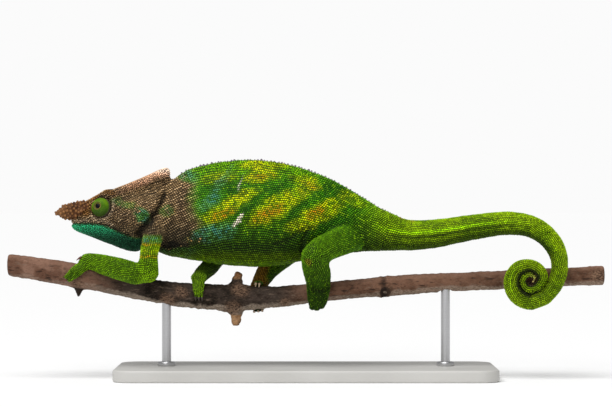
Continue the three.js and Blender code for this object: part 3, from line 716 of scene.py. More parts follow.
lip_plates = 0.55 + 0.45 * np.cos(x / 2.0 * 2 * math.pi)
marks["lips"] = head * ring(z, lip_line, 0.9) * smoothstep(-124, -128, x) * lip_plates
marks["lips"] = np.maximum(marks["lips"], 0.6 * socket)
# Painted shade: near black in the folds and grooves, in and behind the fold of the throat and in the armpit,
# and darker on the far front leg and palm and low on the near hind foot.
far_palm = limb * (y > -20) * (x < -60) * (x > -80) * (z < 68)
marks["dark"] = np.clip(any_of(
    crease_shade, blotch(-101.8, 104.0, 9.5, 2.8, 54) * (z > 95),
    left_side * (head + trunk) * blotch(-106.2, 97.6, 5.2, 3.4, 52), trunk * blotch(-88.0, 88.0, 6.5, 2.4, 5),
    0.70 * member["front_right"] * smoothstep(64, 71, z), 0.42 * far_palm,
    limb * (y < -8) * blotches((0.60, 8.2, 58.6, 4.4, 1.5, 0), (0.35, 8.4, 56.0, 3.0, 4.0, 0)),
), 0, 1)
marks["limb"] = soften(limb, 30) * (1 - 0.8 * smoothstep(12, 38, x))
fore = soften(sum(member[name] for name in groups if "front" in name), 12)
marks["fore"] = fore * (0.42 + 0.58 * smoothstep(-112, -104, x)) * (1 - 0.65 * (y > 0))
tail_start = smoothstep(28, 66, x) - 0.12 * smoothstep(60, 76, x) * smoothstep(110, 90, x)
marks["tail"] = (tail + trunk) * tail_start
# The upper arm is brown at the shoulder, then teal, and has two ochre bars with yellow between.
flare = smoothstep(5.0, 7.0, np.abs(x + 100.4))
marks["brown"] = np.clip(marks["brown"] + arm * smoothstep(91.0, 93.5, wz + 6 * flare) * (x < -70), 0, 1)
ahead = (x < -90) * smoothstep(-110, -107, x)
ochre_bars = any_of(bar(88.6, 1.0), 0.9 * bar(80.8, 1.1))
marks["ochre"] = any_of(marks["ochre"], arm * ochre_bars * ahead)
marks["yellow"] = any_of(marks["yellow"], arm * bar(84.6, 1.6) * ahead)
teal_bar = smoothstep(88.5, 90.5, z) * smoothstep(95.5, 92.5, z) * (x < -88) * 0.9 * (1 - flare)
marks["teal"] = any_of(marks["teal"], arm * teal_bar)
tail_tip = 0.35 * tail * (z < 80) * smoothstep(knots[-1] - 12, knots[-1] - 3, along)
marks["tan"] = np.maximum(marks["tan"], tail_tip)
back_line = body_and_tail * toward_tail * smoothstep(0.20, 0.08, lateral) * smoothstep(140, 100, x)
far_shin = member["hind_right"] * smoothstep(84, 78, z) * smoothstep(-24, -28, wx)
knee = member["hind_left"] * left_side * blotch(2.0, 77.0, 1.8, 2.6, 0)
flecks = 0.75 * back_line * smoothstep(0.5, 1.3, wander[:, 1])
marks["rust"] = any_of(marks["rust"], flecks, 0.9 * far_shin, 0.5 * knee)

fields = np.column_stack([place, along * mm, round_ / math.pi] + list(marks.values()))
stored = ["place", "along", "round"] + list(marks)


def set_attribute(mesh, name, values):
    attribute = mesh.attributes.new(name, "FLOAT", "POINT")
    attribute.data.foreach_set("value", np.ascontiguousarray(values))


# Stores what the skin's colours read at each point.
def store(mesh, values, tint, groove):
    attribute = mesh.attributes.new("place", "FLOAT_VECTOR", "POINT")
    attribute.data.foreach_set("vector", values[:, :3].ravel())
    for k, name in enumerate(stored[1:]):
        set_attribute(mesh, name, values[:, 3 + k])
    set_attribute(mesh, "tint", tint)
    set_attribute(mesh, "groove", groove)


store(skin.data, fields, np.full(count, 0.5), np.ones(count))
layer = skin.data.uv_layers.new(name="OFBake")
layer.data.foreach_set("uv", face_uv.reshape(-1))


# Shader maths on sockets, and nodes made by type, settings and inputs.
class Wire:
    def __init__(self, paint, socket):
        self.paint, self.socket = paint, socket

    def maths(self, operation, *others):
        values = dict(enumerate((self,) + others))
        return self.paint.node("ShaderNodeMath", {"operation": operation}, values)

    def __add__(self, other):
        return self.maths("ADD", other)

    def __sub__(self, other):
        return self.maths("SUBTRACT", other)

    def __rsub__(self, other):
        return self.paint.node("ShaderNodeMath", {"operation": "SUBTRACT"}, {0: other, 1: self})

    def __mul__(self, other):
        return self.maths("MULTIPLY", other)

    __radd__, __rmul__ = __add__, __mul__

    def ramp(self, low, high, smooth=True):
        kind = "SMOOTHSTEP" if smooth else "LINEAR"
        return self.paint.node("ShaderNodeMapRange", {"interpolation_type": kind}, {0: self, 1: low, 2: high})


class Paint:
    """One material and the means to wire it."""

    def __init__(self, name, specular=None):
        self.material = bpy.data.materials.new(name)
        self.material.use_nodes = True
        self.tree = self.material.node_tree
        self.shader = self.tree.nodes["Principled BSDF"]
        if specular is not None:
            self.shader.inputs["Specular IOR Level"].default_value = specular

    def node(self, kind, settings=None, inputs=None, output=0):
        made = self.tree.nodes.new(kind)
        for key, value in (settings or {}).items():
            setattr(made, key, value)
        for key, value in (inputs or {}).items():
            self.join(made.inputs[key], value)
        return Wire(self, made.outputs[output])

    def join(self, socket, value):
        if isinstance(value, Wire):
            self.tree.links.new(value.socket, socket)
        elif isinstance(value, tuple) and len(value) == 3 and len(socket.default_value) == 4:
            socket.default_value = value + (1.0,)
        else:
            socket.default_value = value

    def set(self, **inputs):
        for key, value in inputs.items():
            self.join(self.shader.inputs[key.replace("_", " ")], value)

    def here(self):
        return self.node("ShaderNodeTexCoord", output=3)

    def attribute(self, name):
        output = "Vector" if name == "place" else "Fac"
        return self.node("ShaderNodeAttribute", {"attribute_name": name}, output=output)

    def axis(self, vector, number):
        return self.node("ShaderNodeSeparateXYZ", {}, {0: vector}, output=number)

    def vector(self, operation, first, second=None, output=0):
        inputs = {0: first} if second is None else {0: first, 1: second}
        return self.node("ShaderNodeVectorMath", {"operation": operation}, inputs, output)

    def noise(self, vector, scale, detail=3.0, rough=0.55):
        inputs = {"Vector": vector, "Scale": scale, "Detail": detail, "Roughness": rough}
        return self.node("ShaderNodeTexNoise", {}, inputs)

    def mix(self, share, first, second, how="MIX"):
        settings = {"data_type": "RGBA", "blend_type": how}
        return self.node("ShaderNodeMix", settings, {0: share, 6: first, 7: second}, output=2)

    def bump(self, height, strength, distance):
        return self.node("ShaderNodeBump", {}, {"Strength": strength, "Distance": distance, "Height": height})


# Hide of the animal: ground green, its bands and blotches, and each scale a little off its neighbours; with
# painted shade low down and in the folds and grooves, and a painted highlight along the top of the back.
def hide_paint(name, on_scales):
    paint = Paint(name, 0.06)
    blend = paint.mix
    at, here, tint = paint.attribute("place"), paint.here(), paint.attribute("tint")
    mask = {mark: paint.attribute(mark) for mark in marks}
    high = paint.axis(at, 2)
    drift = paint.noise(at, 60.0, 4.0)
    grain = paint.noise(here, 420.0, 2.0)
    fleck = paint.noise(at, 170.0, 3.0)
    leaf = blend(drift.ramp(0.35, 0.65), (0.030, 0.145, 0.002), (0.066, 0.270, 0.003))
    leaf = blend(fleck.ramp(0.56, 0.72) * 0.7, leaf, (0.016, 0.085, 0.006))
    # Painted shade: the flank is darker green lower down.
    leaf = blend(high.ramp(0.118, 0.100) * 0.65, leaf, (0.032, 0.078, 0.002))
    lime = blend(drift.ramp(0.38, 0.62), (0.132, 0.248, 0.001), (0.228, 0.372, 0.002))
    # Painted shade: the legs are darker lower down.
    leg_green = blend(high.ramp(0.058, 0.086), (0.020, 0.046, 0.002), (0.078, 0.185, 0.003))
    arm_green = blend(drift.ramp(0.4, 0.6), (0.100, 0.215, 0.001), (0.155, 0.310, 0.002))
    # Painted highlight: the top of the back is lighter green.
    back = high.ramp(0.124, 0.143) * (1 - mask["tail"]) * (1 - mask["limb"]) * 0.65
    bright = tint.ramp(0.78, 0.98) * 0.4 * (1 - mask["limb"] * 0.6)
    yellow = blend(fleck.ramp(0.4, 0.65), (0.42, 0.47, 0.002), (0.26, 0.41, 0.001))
    ochre = blend(fleck.ramp(0.4, 0.62), (0.36, 0.175, 0.003), (0.29, 0.245, 0.003))
    teal = blend(fleck.ramp(0.42, 0.6), (0.040, 0.165, 0.115), (0.085, 0.250, 0.060))
    # Painted shade: the belly and the underside of the tail are dark green, less dark along the lowest strip.
    belly = blend(high.ramp(0.086, 0.078), (0.016, 0.036, 0.002), (0.070, 0.112, 0.001))
    colour = leaf
    for share, tone in (
        (mask["tail"], lime),
        (mask["limb"] * 0.75, leg_green),
        (mask["fore"], arm_green),
        (back, (0.150, 0.35, 0.002)),
        (bright, (0.22, 0.36, 0.004)),
        (mask["yellow"] * (0.45 + tint * 0.7).ramp(0.3, 0.9, False), yellow),
        (mask["ochre"] * (0.4 + tint * 0.7).ramp(0.40, 0.95, False), ochre),
        (mask["deep"] * 0.8, (0.022, 0.115, 0.003)),
        (mask["teal"] * (0.5 + tint * 0.6).ramp(0.5, 0.9, False), teal),
        (mask["belly"] * 0.85, belly),
        (mask["stripe"] * 0.95, (0.34, 0.70, 0.002)),
        (mask["seam"] * 0.95, (0.028, 0.060, 0.002)),
    ):
        colour = blend(share, colour, tone)
    # The head's scales stand in wavy rows that run back and up along the helmet.
    swirl = paint.noise(here, 110.0, 2.0)
    sloped = paint.vector("DOT_PRODUCT", here, (-0.42, 0.0, 0.91), 1)
    rows = (sloped * 3600.0 + swirl * 16.0).maths("SINE")
    brown = blend(drift.ramp(0.36, 0.64), (0.150, 0.092, 0.045), (0.290, 0.185, 0.085))
    brown = blend(rows.ramp(0.1, 0.9) * 0.85, brown, (0.022, 0.015, 0.009))
    brown = blend(rows.ramp(-0.4, -1.0) * tint.ramp(0.35, 0.9) * 0.65, brown, (0.52, 0.38, 0.22))
    # Painted shade: the head is darker brown lower down, on the cheeks.
    brown = blend(high.ramp(0.110, 0.091) * 0.80, brown, (0.032, 0.028, 0.015))
    keep = mask["teal"] * fleck.ramp(0.30, 0.48)
    brown = blend(mask["teal"] * tint.ramp(0.80, 0.86), brown, (0.42, 0.20, 0.06))
    # Painted shade: the throat is darker lower down.
    throat_tone = blend(high.ramp(0.092, 0.1015), (0.011, 0.062, 0.030), (0.026, 0.340, 0.145))
    rim_tone = blend(drift.ramp(0.4, 0.6), (0.62, 0.36, 0.22), (0.34, 0.18, 0.10))
    for share, tone in (
        (mask["brown"] * (1 - keep), brown),
        (mask["throat"], throat_tone),
        (mask["rust"] * 0.85, (0.215, 0.088, 0.014)),
        (mask["tan"] * 0.95, blend(high.ramp(0.133, 0.138), rim_tone, (0.86, 0.66, 0.51))),
        (mask["lips"] * 0.85, (0.36, 0.28, 0.19)),
        (mask["white"], (0.80, 0.72, 0.56)),
        (mask["dark"] * 0.9, (0.008, 0.008, 0.006)),
    ):
        colour = blend(share, colour, tone)
    if on_scales:
        pattern = paint.noise(at, 240.0, 2.0)
        # Painted shade: each scale is darker towards its edges, deepest between one row and the next.
        in_groove = (0.92 - 0.45 * mask["tan"]) * paint.attribute("groove")
        shade = 1.7 * (0.62 + tint * 0.80) * (0.55 + pattern * 0.95) * (1.12 - in_groove)
    else:
        shade = 0.10 + grain * 0.10
    value = paint.node("ShaderNodeCombineXYZ", {}, {0: shade, 1: shade, 2: shade})
    colour = blend(1.0, colour, value, "MULTIPLY")
    paint.set(Base_Color=colour, Roughness=0.56 - 0.16 * grain, Normal=paint.bump(grain, 0.35, 0.00025))
    return paint.material


skin.data.materials.append(hide_paint("hide_between_scales", False))
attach(skin, "root")
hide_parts(*flesh)

# ------------------------------------------------------------------ scales
# Small juxtaposed scales of horny skin over the whole animal: low domes in rows along the flanks
# and legs, rings round the tail, and larger plates on the helmet, the snout and the lips.
def halves(of_squares):
    return np.vstack([of_squares[:, [0, 1, 2]], of_squares[:, [0, 2, 3]]])


triangles, tri_a, tri_b, tri_uv = (halves(each) for each in (faces, face_along, face_arc, face_uv))
tri_group = np.concatenate([face_group, face_group])
normal = read(skin.data, "normal")
place_mm = read(skin.data, "co") / mm
# How far apart the scales stand along the part and round it, and how far apart loose ones stand.
pitches = {"trunk": (1.30, 1.45), "tail": (1.10, 1.20), "head": (1.20, 1.25)}
limb_pitch, limb_gaps, toe_pitch, toe_gap = (1.2, 1.1), (1.15, 1.1), (0.95, 0.9), 0.95
pitch = np.zeros(count)
for g, name in enumerate(groups):
    pitch[group_of == g] = np.mean(pitches.get(name, limb_gaps)) - 0.08 * (name == "head")
larger = 0.10 * marks["tan"] + 0.12 * marks["rust"] + 0.10 * head * (x < -140)
pitch = pitch * (1 + larger - 0.12 * marks["throat"])
for g, name in enumerate(groups):
    if name.startswith(("near", "far")):
        pitch[group_of == g] = toe_gap


# Where the points of a lattice fall in the triangles of an unrolled part.
def lattice_points(mine, a, b, pitch_a, pitch_b):
    found_tri, found_share = [], []
    first_row = np.ceil(b.min(1) / pitch_b)
    u0, v0, u1, v1 = a[:, 1] - a[:, 0], b[:, 1] - b[:, 0], a[:, 2] - a[:, 0], b[:, 2] - b[:, 0]
    area = u0 * v1 - u1 * v0
    area = np.where(np.abs(area) < 1e-9, 1e-9, area)
    unfolded = (b.max(1) - b.min(1)) < 6
    for down in range(3):
        row = first_row + down
        shift = 0.5 * (row % 2)
        first = np.ceil(a.min(1) / pitch_a - shift)
        for over in range(3):
            u, v = (first + over + shift) * pitch_a - a[:, 0], row * pitch_b - b[:, 0]
            second, third = (u * v1 - u1 * v) / area, (u0 * v - u * v0) / area
            inside = (second >= 0) & (third >= 0) & (second + third <= 1) & unfolded
            found_tri.append(mine[inside])
            found_share.append(np.column_stack([1 - second - third, second, third])[inside])
    return found_tri, found_share


head_rows_above = 109.0
seeds_tri, seeds_share = [], []
for g, name in enumerate(groups):
    toes_too = name.startswith(("near", "far"))
    pitch_a, pitch_b = pitches.get(name, toe_pitch if toes_too else limb_pitch)
    mine = np.where(tri_group == g)[0]
    a, b = tri_a[mine], tri_b[mine]
    if name == "head":  # rows that run back and up, alike on both sides
        high = place_mm[triangles[mine]][:, :, 2].mean(1) > head_rows_above
        mine, a, b = mine[high], a[high], np.abs(b[high])
        b = b + 0.40 * a + 0.75 * np.sin(a / 2.6) + 0.5 * np.sin(a / 1.5 + b / 3.0)
    b = b + 0.30 * np.sin(a / 3.1) + 0.22 * np.sin(a / 1.7 + b / 5.0)
    a = a + 0.25 * np.sin(b / 2.3 + a / 6.0)
    found_tri, found_share = lattice_points(mine, a, b, pitch_a, pitch_b)
    seeds_tri += found_tri
    seeds_share += found_share
seeds_tri, seeds_share = np.concatenate(seeds_tri), np.vstack(seeds_share)
# Loose points fill what the rows leave open, in a random order.
dice = np.random.default_rng(7)
loose = len(triangles) * 2
r1, r2 = dice.random(loose) ** 0.5, dice.random(loose)
loose_share = np.column_stack([1 - r1, r1 * (1 - r2), r1 * r2])
order = dice.permutation(loose)
every_tri = np.concatenate([seeds_tri, np.tile(np.arange(len(triangles)), 2)[order]])
every_share = np.vstack([seeds_share, loose_share[order]])
spot = np.einsum("tk,tkc->tc", every_share, place_mm[triangles[every_tri]])
gap = np.einsum("tk,tk->t", every_share, pitch[triangles[every_tri]])
least = np.where(np.arange(len(spot)) < len(seeds_tri), 0.66, 0.80) * gap
around = [(i, j, k) for i in (-1, 0, 1) for j in (-1, 0, 1) for k in (-1, 0, 1)]
cells, kept = {}, []  # cells of 1 mm and the spots kept in each
for n, ((px, py, pz), limit) in enumerate(zip(spot.tolist(), (least**2).tolist())):
    ci, cj, ck = math.floor(px), math.floor(py), math.floor(pz)
    if all(
        (px - qx) ** 2 + (py - qy) ** 2 + (pz - qz) ** 2 >= limit
        for i, j, k in around
        for qx, qy, qz in cells.get((ci + i, cj + j, ck + k), ())
    ):
        cells.setdefault((ci, cj, ck), []).append((px, py, pz))
        kept.append(n)
seed, seed_pitch, seed_tri, seed_share = spot[kept], gap[kept], every_tri[kept], every_share[kept]
seed_group = tri_group[seed_tri]
seed_fields = np.einsum("tk,tkc->tc", seed_share, fields[triangles[seed_tri]])
seed_uv = np.einsum("tk,tkc->tc", seed_share, tri_uv[seed_tri])
seed_normal = np.einsum("tk,tkc->tc", seed_share, normal[triangles[seed_tri]])
seed_normal /= np.linalg.norm(seed_normal, axis=1)[:, None]
lead = np.zeros_like(seed)
for g, name in enumerate(groups):
    lead[seed_group == g] = chart(seed[seed_group == g], name)[3]
lead -= np.sum(lead * seed_normal, 1, keepdims=True) * seed_normal
weak = np.linalg.norm(lead, axis=1) < 0.05
lead[weak] = np.cross(seed_normal[weak], (0.3, 0.5, 0.8))
lead /= np.linalg.norm(lead, axis=1)[:, None]
cross = np.cross(seed_normal, lead)


def tree_of(points):
    tree = kdtree.KDTree(len(points))
    for k, p in enumerate(points):
        tree.insert(p, k)
    tree.balance()
    return tree


# Each scale reaches halfway to its neighbours, less a groove, and is longer than wide.
near_tree, near_count = tree_of(seed), 8
neighbours = np.array([[index for _, index, _ in near_tree.find_n(p, near_count + 1)][1:] for p in seed])
spokes = 6
turns = np.radians(30 + 60 * np.arange(spokes))
onward, sideways = np.cos(turns)[None, :, None] * lead[:, None], np.sin(turns)[None, :, None] * cross[:, None]
away = seed[neighbours] - seed[:, None]
ahead = np.einsum("nsc,nkc->nsk", onward + sideways, away)
half = np.sum(away**2, 2)[:, None, :] / 2
rim = np.min(np.where(ahead > 0.05, half / np.maximum(ahead, 0.05), 9.0), axis=2)
rim = np.minimum(rim, seed_pitch[:, None] * 0.78) * 0.97
rim_way = 0.95 * onward + 0.80 * sideways
tint = dice.random(len(seed))


def new_piece(name, mesh):
    piece = bpy.data.objects.new(name, mesh)
    bpy.context.collection.objects.link(piece)
    return piece


# Low domes: a rim sunk in the skin, a shoulder and a crown, with a UV patch at each root's place.
def scale_mesh(name, mine, height, shoulder=0.62, sunk=0.10, patch_size=0.0015):
    root, up = seed[mine][:, None], seed_normal[mine][:, None]
    out = rim_way[mine] * rim[mine][:, :, None]
    high = height[mine][:, None, None]
    lower = root + out - sunk * up
    upper = root + out * shoulder + 0.8 * high * up
    verts = np.concatenate([lower, upper, root + high * up], axis=1)
    per = 2 * spokes + 1
    k = np.arange(spokes)
    after = (k + 1) % spokes
    quads = np.stack([k, after, spokes + after, spokes + k], 1)
    tops = np.stack([spokes + k, spokes + after, np.full(spokes, 2 * spokes)], 1)
    one = np.concatenate([quads.ravel(), tops.ravel()])
    loops = (np.arange(len(verts))[:, None] * per + one).ravel()
    lengths = np.tile([4] * spokes + [3] * spokes, len(verts))
    mesh = bpy.data.meshes.new(name)
    mesh.vertices.add(len(verts) * per)
    mesh.vertices.foreach_set("co", (verts * mm).ravel())
    mesh.loops.add(len(loops))
    mesh.loops.foreach_set("vertex_index", loops)
    mesh.polygons.add(len(lengths))
    mesh.polygons.foreach_set("loop_start", np.concatenate([[0], np.cumsum(lengths)[:-1]]))
    mesh.polygons.foreach_set("use_smooth", np.ones(len(lengths), bool))
    mesh.update(calc_edges=True)
    # How deep each point lies in the grooves, most between one row and the next. The scales are painted
    # darker by it, as shade in the grooves.
    between_rows = np.abs(np.sin(turns))
    groove = np.concatenate([0.35 + 0.65 * between_rows, 0.05 + 0.30 * between_rows, [0.0]])
    store(mesh, np.repeat(seed_fields[mine], per, 0), np.repeat(tint[mine], per), np.tile(groove, len(verts)))
    circle = np.column_stack([np.cos(turns), np.sin(turns)])
    patch = np.vstack([circle, 0.6 * circle, [[0, 0]]]) * patch_size
    uv = (seed_uv[mine][:, None] + patch[None]).reshape(-1, 2)
    layer = mesh.uv_layers.new(name="OFBake")
    layer.data.foreach_set("uv", uv[loops].ravel())
    return mesh


names_of = np.array(groups)[seed_group]
field = {name: seed_fields[:, 3 + k] for k, name in enumerate(stored[1:])}
dome = 0.36 + 0.14 * tint
dome = dome + 0.10 * field["tan"] + 0.12 * field["rust"] * (names_of == "head") + 0.05 * field["brown"]
scale_paint = hide_paint("hide_scales", True)
on_limb, chest_end = ~np.isin(names_of, ["head", "trunk", "tail"]), -38
coats = {
    "scales_head": names_of == "head",
    "scales_chest": (names_of == "trunk") & (seed[:, 0] < chest_end),
    "scales_flanks": (names_of == "trunk") & (seed[:, 0] >= chest_end),
    "scales_tail": names_of == "tail",
    "scales_front_legs": on_limb & (np.char.find(names_of, "front") >= 0),
    "scales_hind_legs": on_limb & (np.char.find(names_of, "hind") >= 0),
}
for name, mine in coats.items():
    piece = new_piece(name, scale_mesh(name, mine, dome))
    piece.data.materials.append(scale_paint)
    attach(piece, "root")
    "head_skin" if name == "scales_head" else "body_skin"

# ------------------------------------------------------------------ crest
# A low crest of small horny cones along the middle of the back, from behind the helmet to the
# first third of the tail. They grow from the skin, tallest over the shoulders.
def smooth_mesh(name, verts, sides):
    mesh = bpy.data.meshes.new(name)
    mesh.from_pydata([tuple(p * mm) for p in verts], [], sides)
    mesh.polygons.foreach_set("use_smooth", np.ones(len(sides), bool))
    mesh.update()
    return mesh


# The squares between two rings of points that start at given numbers.
def band(lower, upper, spokes):
    after = [(k + 1) % spokes for k in range(spokes)]
    return [(lower + k, lower + after[k], upper + after[k], upper + k) for k in range(spokes)]


def cones(name, roots, ups, leads, radii, heights, spokes=6):
    verts, sides = [], []
    for root, up, lead, radius, height in zip(roots, ups, leads, radii, heights):
        up = up / np.linalg.norm(up)
        u = lead - (lead @ up) * up
        u /= np.linalg.norm(u)
        v = np.cross(up, u)
        start = len(verts)
        for level, share in ((-0.35, 1.05), (0.35, 0.82), (0.8, 0.42)):
            for t in np.linspace(0, 2 * math.pi, spokes, endpoint=False):
                out = math.cos(t) * u * 1.15 + math.sin(t) * v * 0.85
                verts.append(root + share * radius * out + level * height * up)
        verts.append(root + height * up)
        for ring_start in (start, start + spokes):
            sides += band(ring_start, ring_start + spokes, spokes)
        top = start + 2 * spokes
        sides += [(top + k, top + (k + 1) % spokes, top + spokes) for k in range(spokes)]
    return smooth_mesh(name, verts, sides)


top_points = place_mm[np.abs(place_mm[:, 1]) < 2.2]


def ridge_height(at_x):
    return top_points[np.abs(top_points[:, 0] - at_x) < 1.0][:, 2].max()


crest_start, bend_start, cone_count = -84.0, 62, 78
crest_x = np.cumsum(dice.uniform(1.5, 3.0, cone_count)) + crest_start
crest_roots = np.array([(cx, -0.01 * max(cx - bend_start, 0.0), ridge_height(cx) - 0.15) for cx in crest_x])
slope = np.gradient(crest_roots[:, 2], crest_roots[:, 0])
crest_ups = np.column_stack([-slope, np.zeros(len(slope)), np.ones(len(slope))])
crest_size = np.interp(crest_x, [-84, -70, 0, 40, 92], [0.7, 1.0, 0.95, 0.7, 0.4])
crest_size = crest_size * dice.uniform(0.6, 1.05, cone_count)
tailward = np.tile((1.0, 0, 0), (cone_count, 1))
crest_mesh = cones("crest", crest_roots, crest_ups, tailward, 0.95 * crest_size, 1.35 * crest_size)
crest = new_piece("crest", crest_mesh)
paint = Paint("crest_horn")
mottle = paint.noise(paint.here(), 300.0)
paint.set(Base_Color=paint.mix(mottle.ramp(0.4, 0.6), (0.10, 0.07, 0.10), (0.30, 0.24, 0.27)), Roughness=0.6)
crest.data.materials.append(paint.material)
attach(crest, "root")

# ------------------------------------------------------------------ horns
# Two warty blades of horn side by side on the snout. Each is one bony outgrowth under a rough
# horny sheath of blunt tubercles, rust brown, paler at the tip.
wart_apart, wart_reach, wart_tall, ground = 1.75, 1.25, 1.7, 0.45
for name in ("horn_left", "horn_right"):
    horn = joined_copy([name], 0.15)
    in_one_shell(horn, name + "_sheath", 0.42)
    apply_modifier(horn, "SMOOTH", factor=0.6, iterations=12)
    core, outward = read(horn.data, "co"), read(horn.data, "normal")
    wart_at = []
    for n in dice.permutation(len(core)):
        p = core[n] / mm
        if all(np.linalg.norm(p - q) > wart_apart for q in wart_at):
            wart_at.append(p)
    wart_tree = tree_of(wart_at)
    wart_size = dice.uniform(0.35, 1.0, len(wart_at))
    lift = np.zeros(len(core))
    for k, p in enumerate(core / mm):
        _, nearest, distance = wart_tree.find(p)
        lift[k] = wart_tall * wart_size[nearest] * max(0.0, 1 - (distance / wart_reach) ** 2) - ground
    write(horn.data, core + outward * lift[:, None] * mm)
    set_attribute(horn.data, "wart", np.clip((lift + ground) / 1.3, 0, 1))
    paint = Paint(name + "_horn", 0.15)
    at = paint.here()
    patchy = paint.noise(at, 260.0, 4.0)
    tip = paint.axis(at, 0).ramp(-0.151, -0.164)
    colour = paint.mix(patchy.ramp(0.38, 0.62), (0.050, 0.018, 0.007), (0.105, 0.040, 0.014))
    # The warts are rust brown on a darker ground: partly the horn's own colour, partly painted shade between
    # the warts.
    colour = paint.mix(paint.attribute("wart").ramp(0.30, 0.95) * 0.8, colour, (0.30, 0.135, 0.045))
    colour = paint.mix(tip * 0.35, colour, (0.42, 0.20, 0.075))
    paint.set(Base_Color=colour, Roughness=0.5, Normal=paint.bump(patchy, 0.4, 0.0003))
    horn.data.materials.append(paint.material)
    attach(horn, "root")
    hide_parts(name)

# ------------------------------------------------------------------ claws
# A short curved claw of dark horn on the free tip of every toe. Those of the left hand's inner
# toes are red brown, and those of the right hind foot are paler.
claw_rings, claw_spokes, claw_thick = 6, 8, 0.95
dark_claw = ((0.020, 0.014, 0.012), (0.060, 0.040, 0.030))
claw_tones = {
    "front_left": ((0.06, 0.015, 0.008), (0.14, 0.035, 0.016)),
    "hind_right": ((0.30, 0.20, 0.12), (0.48, 0.34, 0.22)),
}
for leg, (_, _, *bundles) in legs.items():
    verts, sides, claws_at = [], [], []
    shares = np.linspace(0, 1, claw_rings)
    for bundle in bundles:
        toes, apart = bundle[4:6]
        for i in range(toes):
            aside = (i - (toes - 1) / 2) * apart * 0.64
            run = [(1.9 + 3.4 * share, 1.5 * (1 - share) ** 1.5 + 0.1) for share in shares]
            claws_at.append([Vector(toe_spot(bundle, far, aside, clear)) for far, clear in run])
    if leg == "front_left":  # one inner finger rests on top of the wood
        finger = [(-147.6 - 3.3 * share, -8.4 - share, 79.7 - 2.0 * share**1.5) for share in shares]
        claws_at.append([Vector(p) for p in finger])
    for spots in claws_at:
        start = len(verts)
        for k, at in enumerate(spots):
            onto = (spots[min(k + 1, claw_rings - 1)] - spots[max(k - 1, 0)]).normalized()
            u = onto.cross(Vector((0.1, 1, 0.2))).normalized()
            v = onto.cross(u)
            size = claw_thick * (1 - k / (claw_rings - 0.85)) ** 0.8
            for m in range(claw_spokes):
                a = 2 * math.pi * m / claw_spokes
                verts.append(at + size * (math.cos(a) * u + 0.8 * math.sin(a) * v))
        for first in range(start, len(verts) - claw_spokes, claw_spokes):
            sides += band(first, first + claw_spokes, claw_spokes)
        sides.append(tuple(start + m for m in reversed(range(claw_spokes))))
        sides.append(tuple(len(verts) - claw_spokes + m for m in range(claw_spokes)))
    claws = new_piece(f"claws_{leg}", smooth_mesh(f"claws_{leg}", verts, sides))
    paint = Paint(f"claw_horn_{leg}")
    cloud = paint.noise(paint.here(), 500.0, 2.0)
    tone = paint.mix(cloud, *claw_tones.get(leg, dark_claw))
    paint.set(Base_Color=tone, Roughness=0.35 + 0.1 * cloud)
    claws.data.materials.append(paint.material)
    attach(claws, "root")

# ------------------------------------------------------------------ eyes
# Each eye is a turret of fused lids that turns with the ball inside. Fine granules lie in rings
# round the small round opening, which shows a wet black pupil in a thin gold iris.
turret_radius, ball_radius, ball_ahead = 6.35, 2.6, 3.45


def round_piece(name, segments, rings, radius):
    bpy.ops.object.select_all(action="DESELECT")
    bpy.ops.mesh.primitive_uv_sphere_add(segments=segments, ring_count=rings, radius=radius * mm)
    piece = bpy.context.object
    piece.name = piece.data.name = name
    bpy.ops.object.shade_smooth()
    return piece


# How squarely each point of a ball looks the way that the eye does, and where it is from the centre.
def facing_gaze(paint, centre, gaze):
    from_middle = paint.vector("SUBTRACT", paint.here(), tuple(float(c) for c in centre))
    outward = paint.vector("NORMALIZE", from_middle)
    return paint.vector("DOT_PRODUCT", outward, tuple(float(c) for c in gaze), 1), from_middle


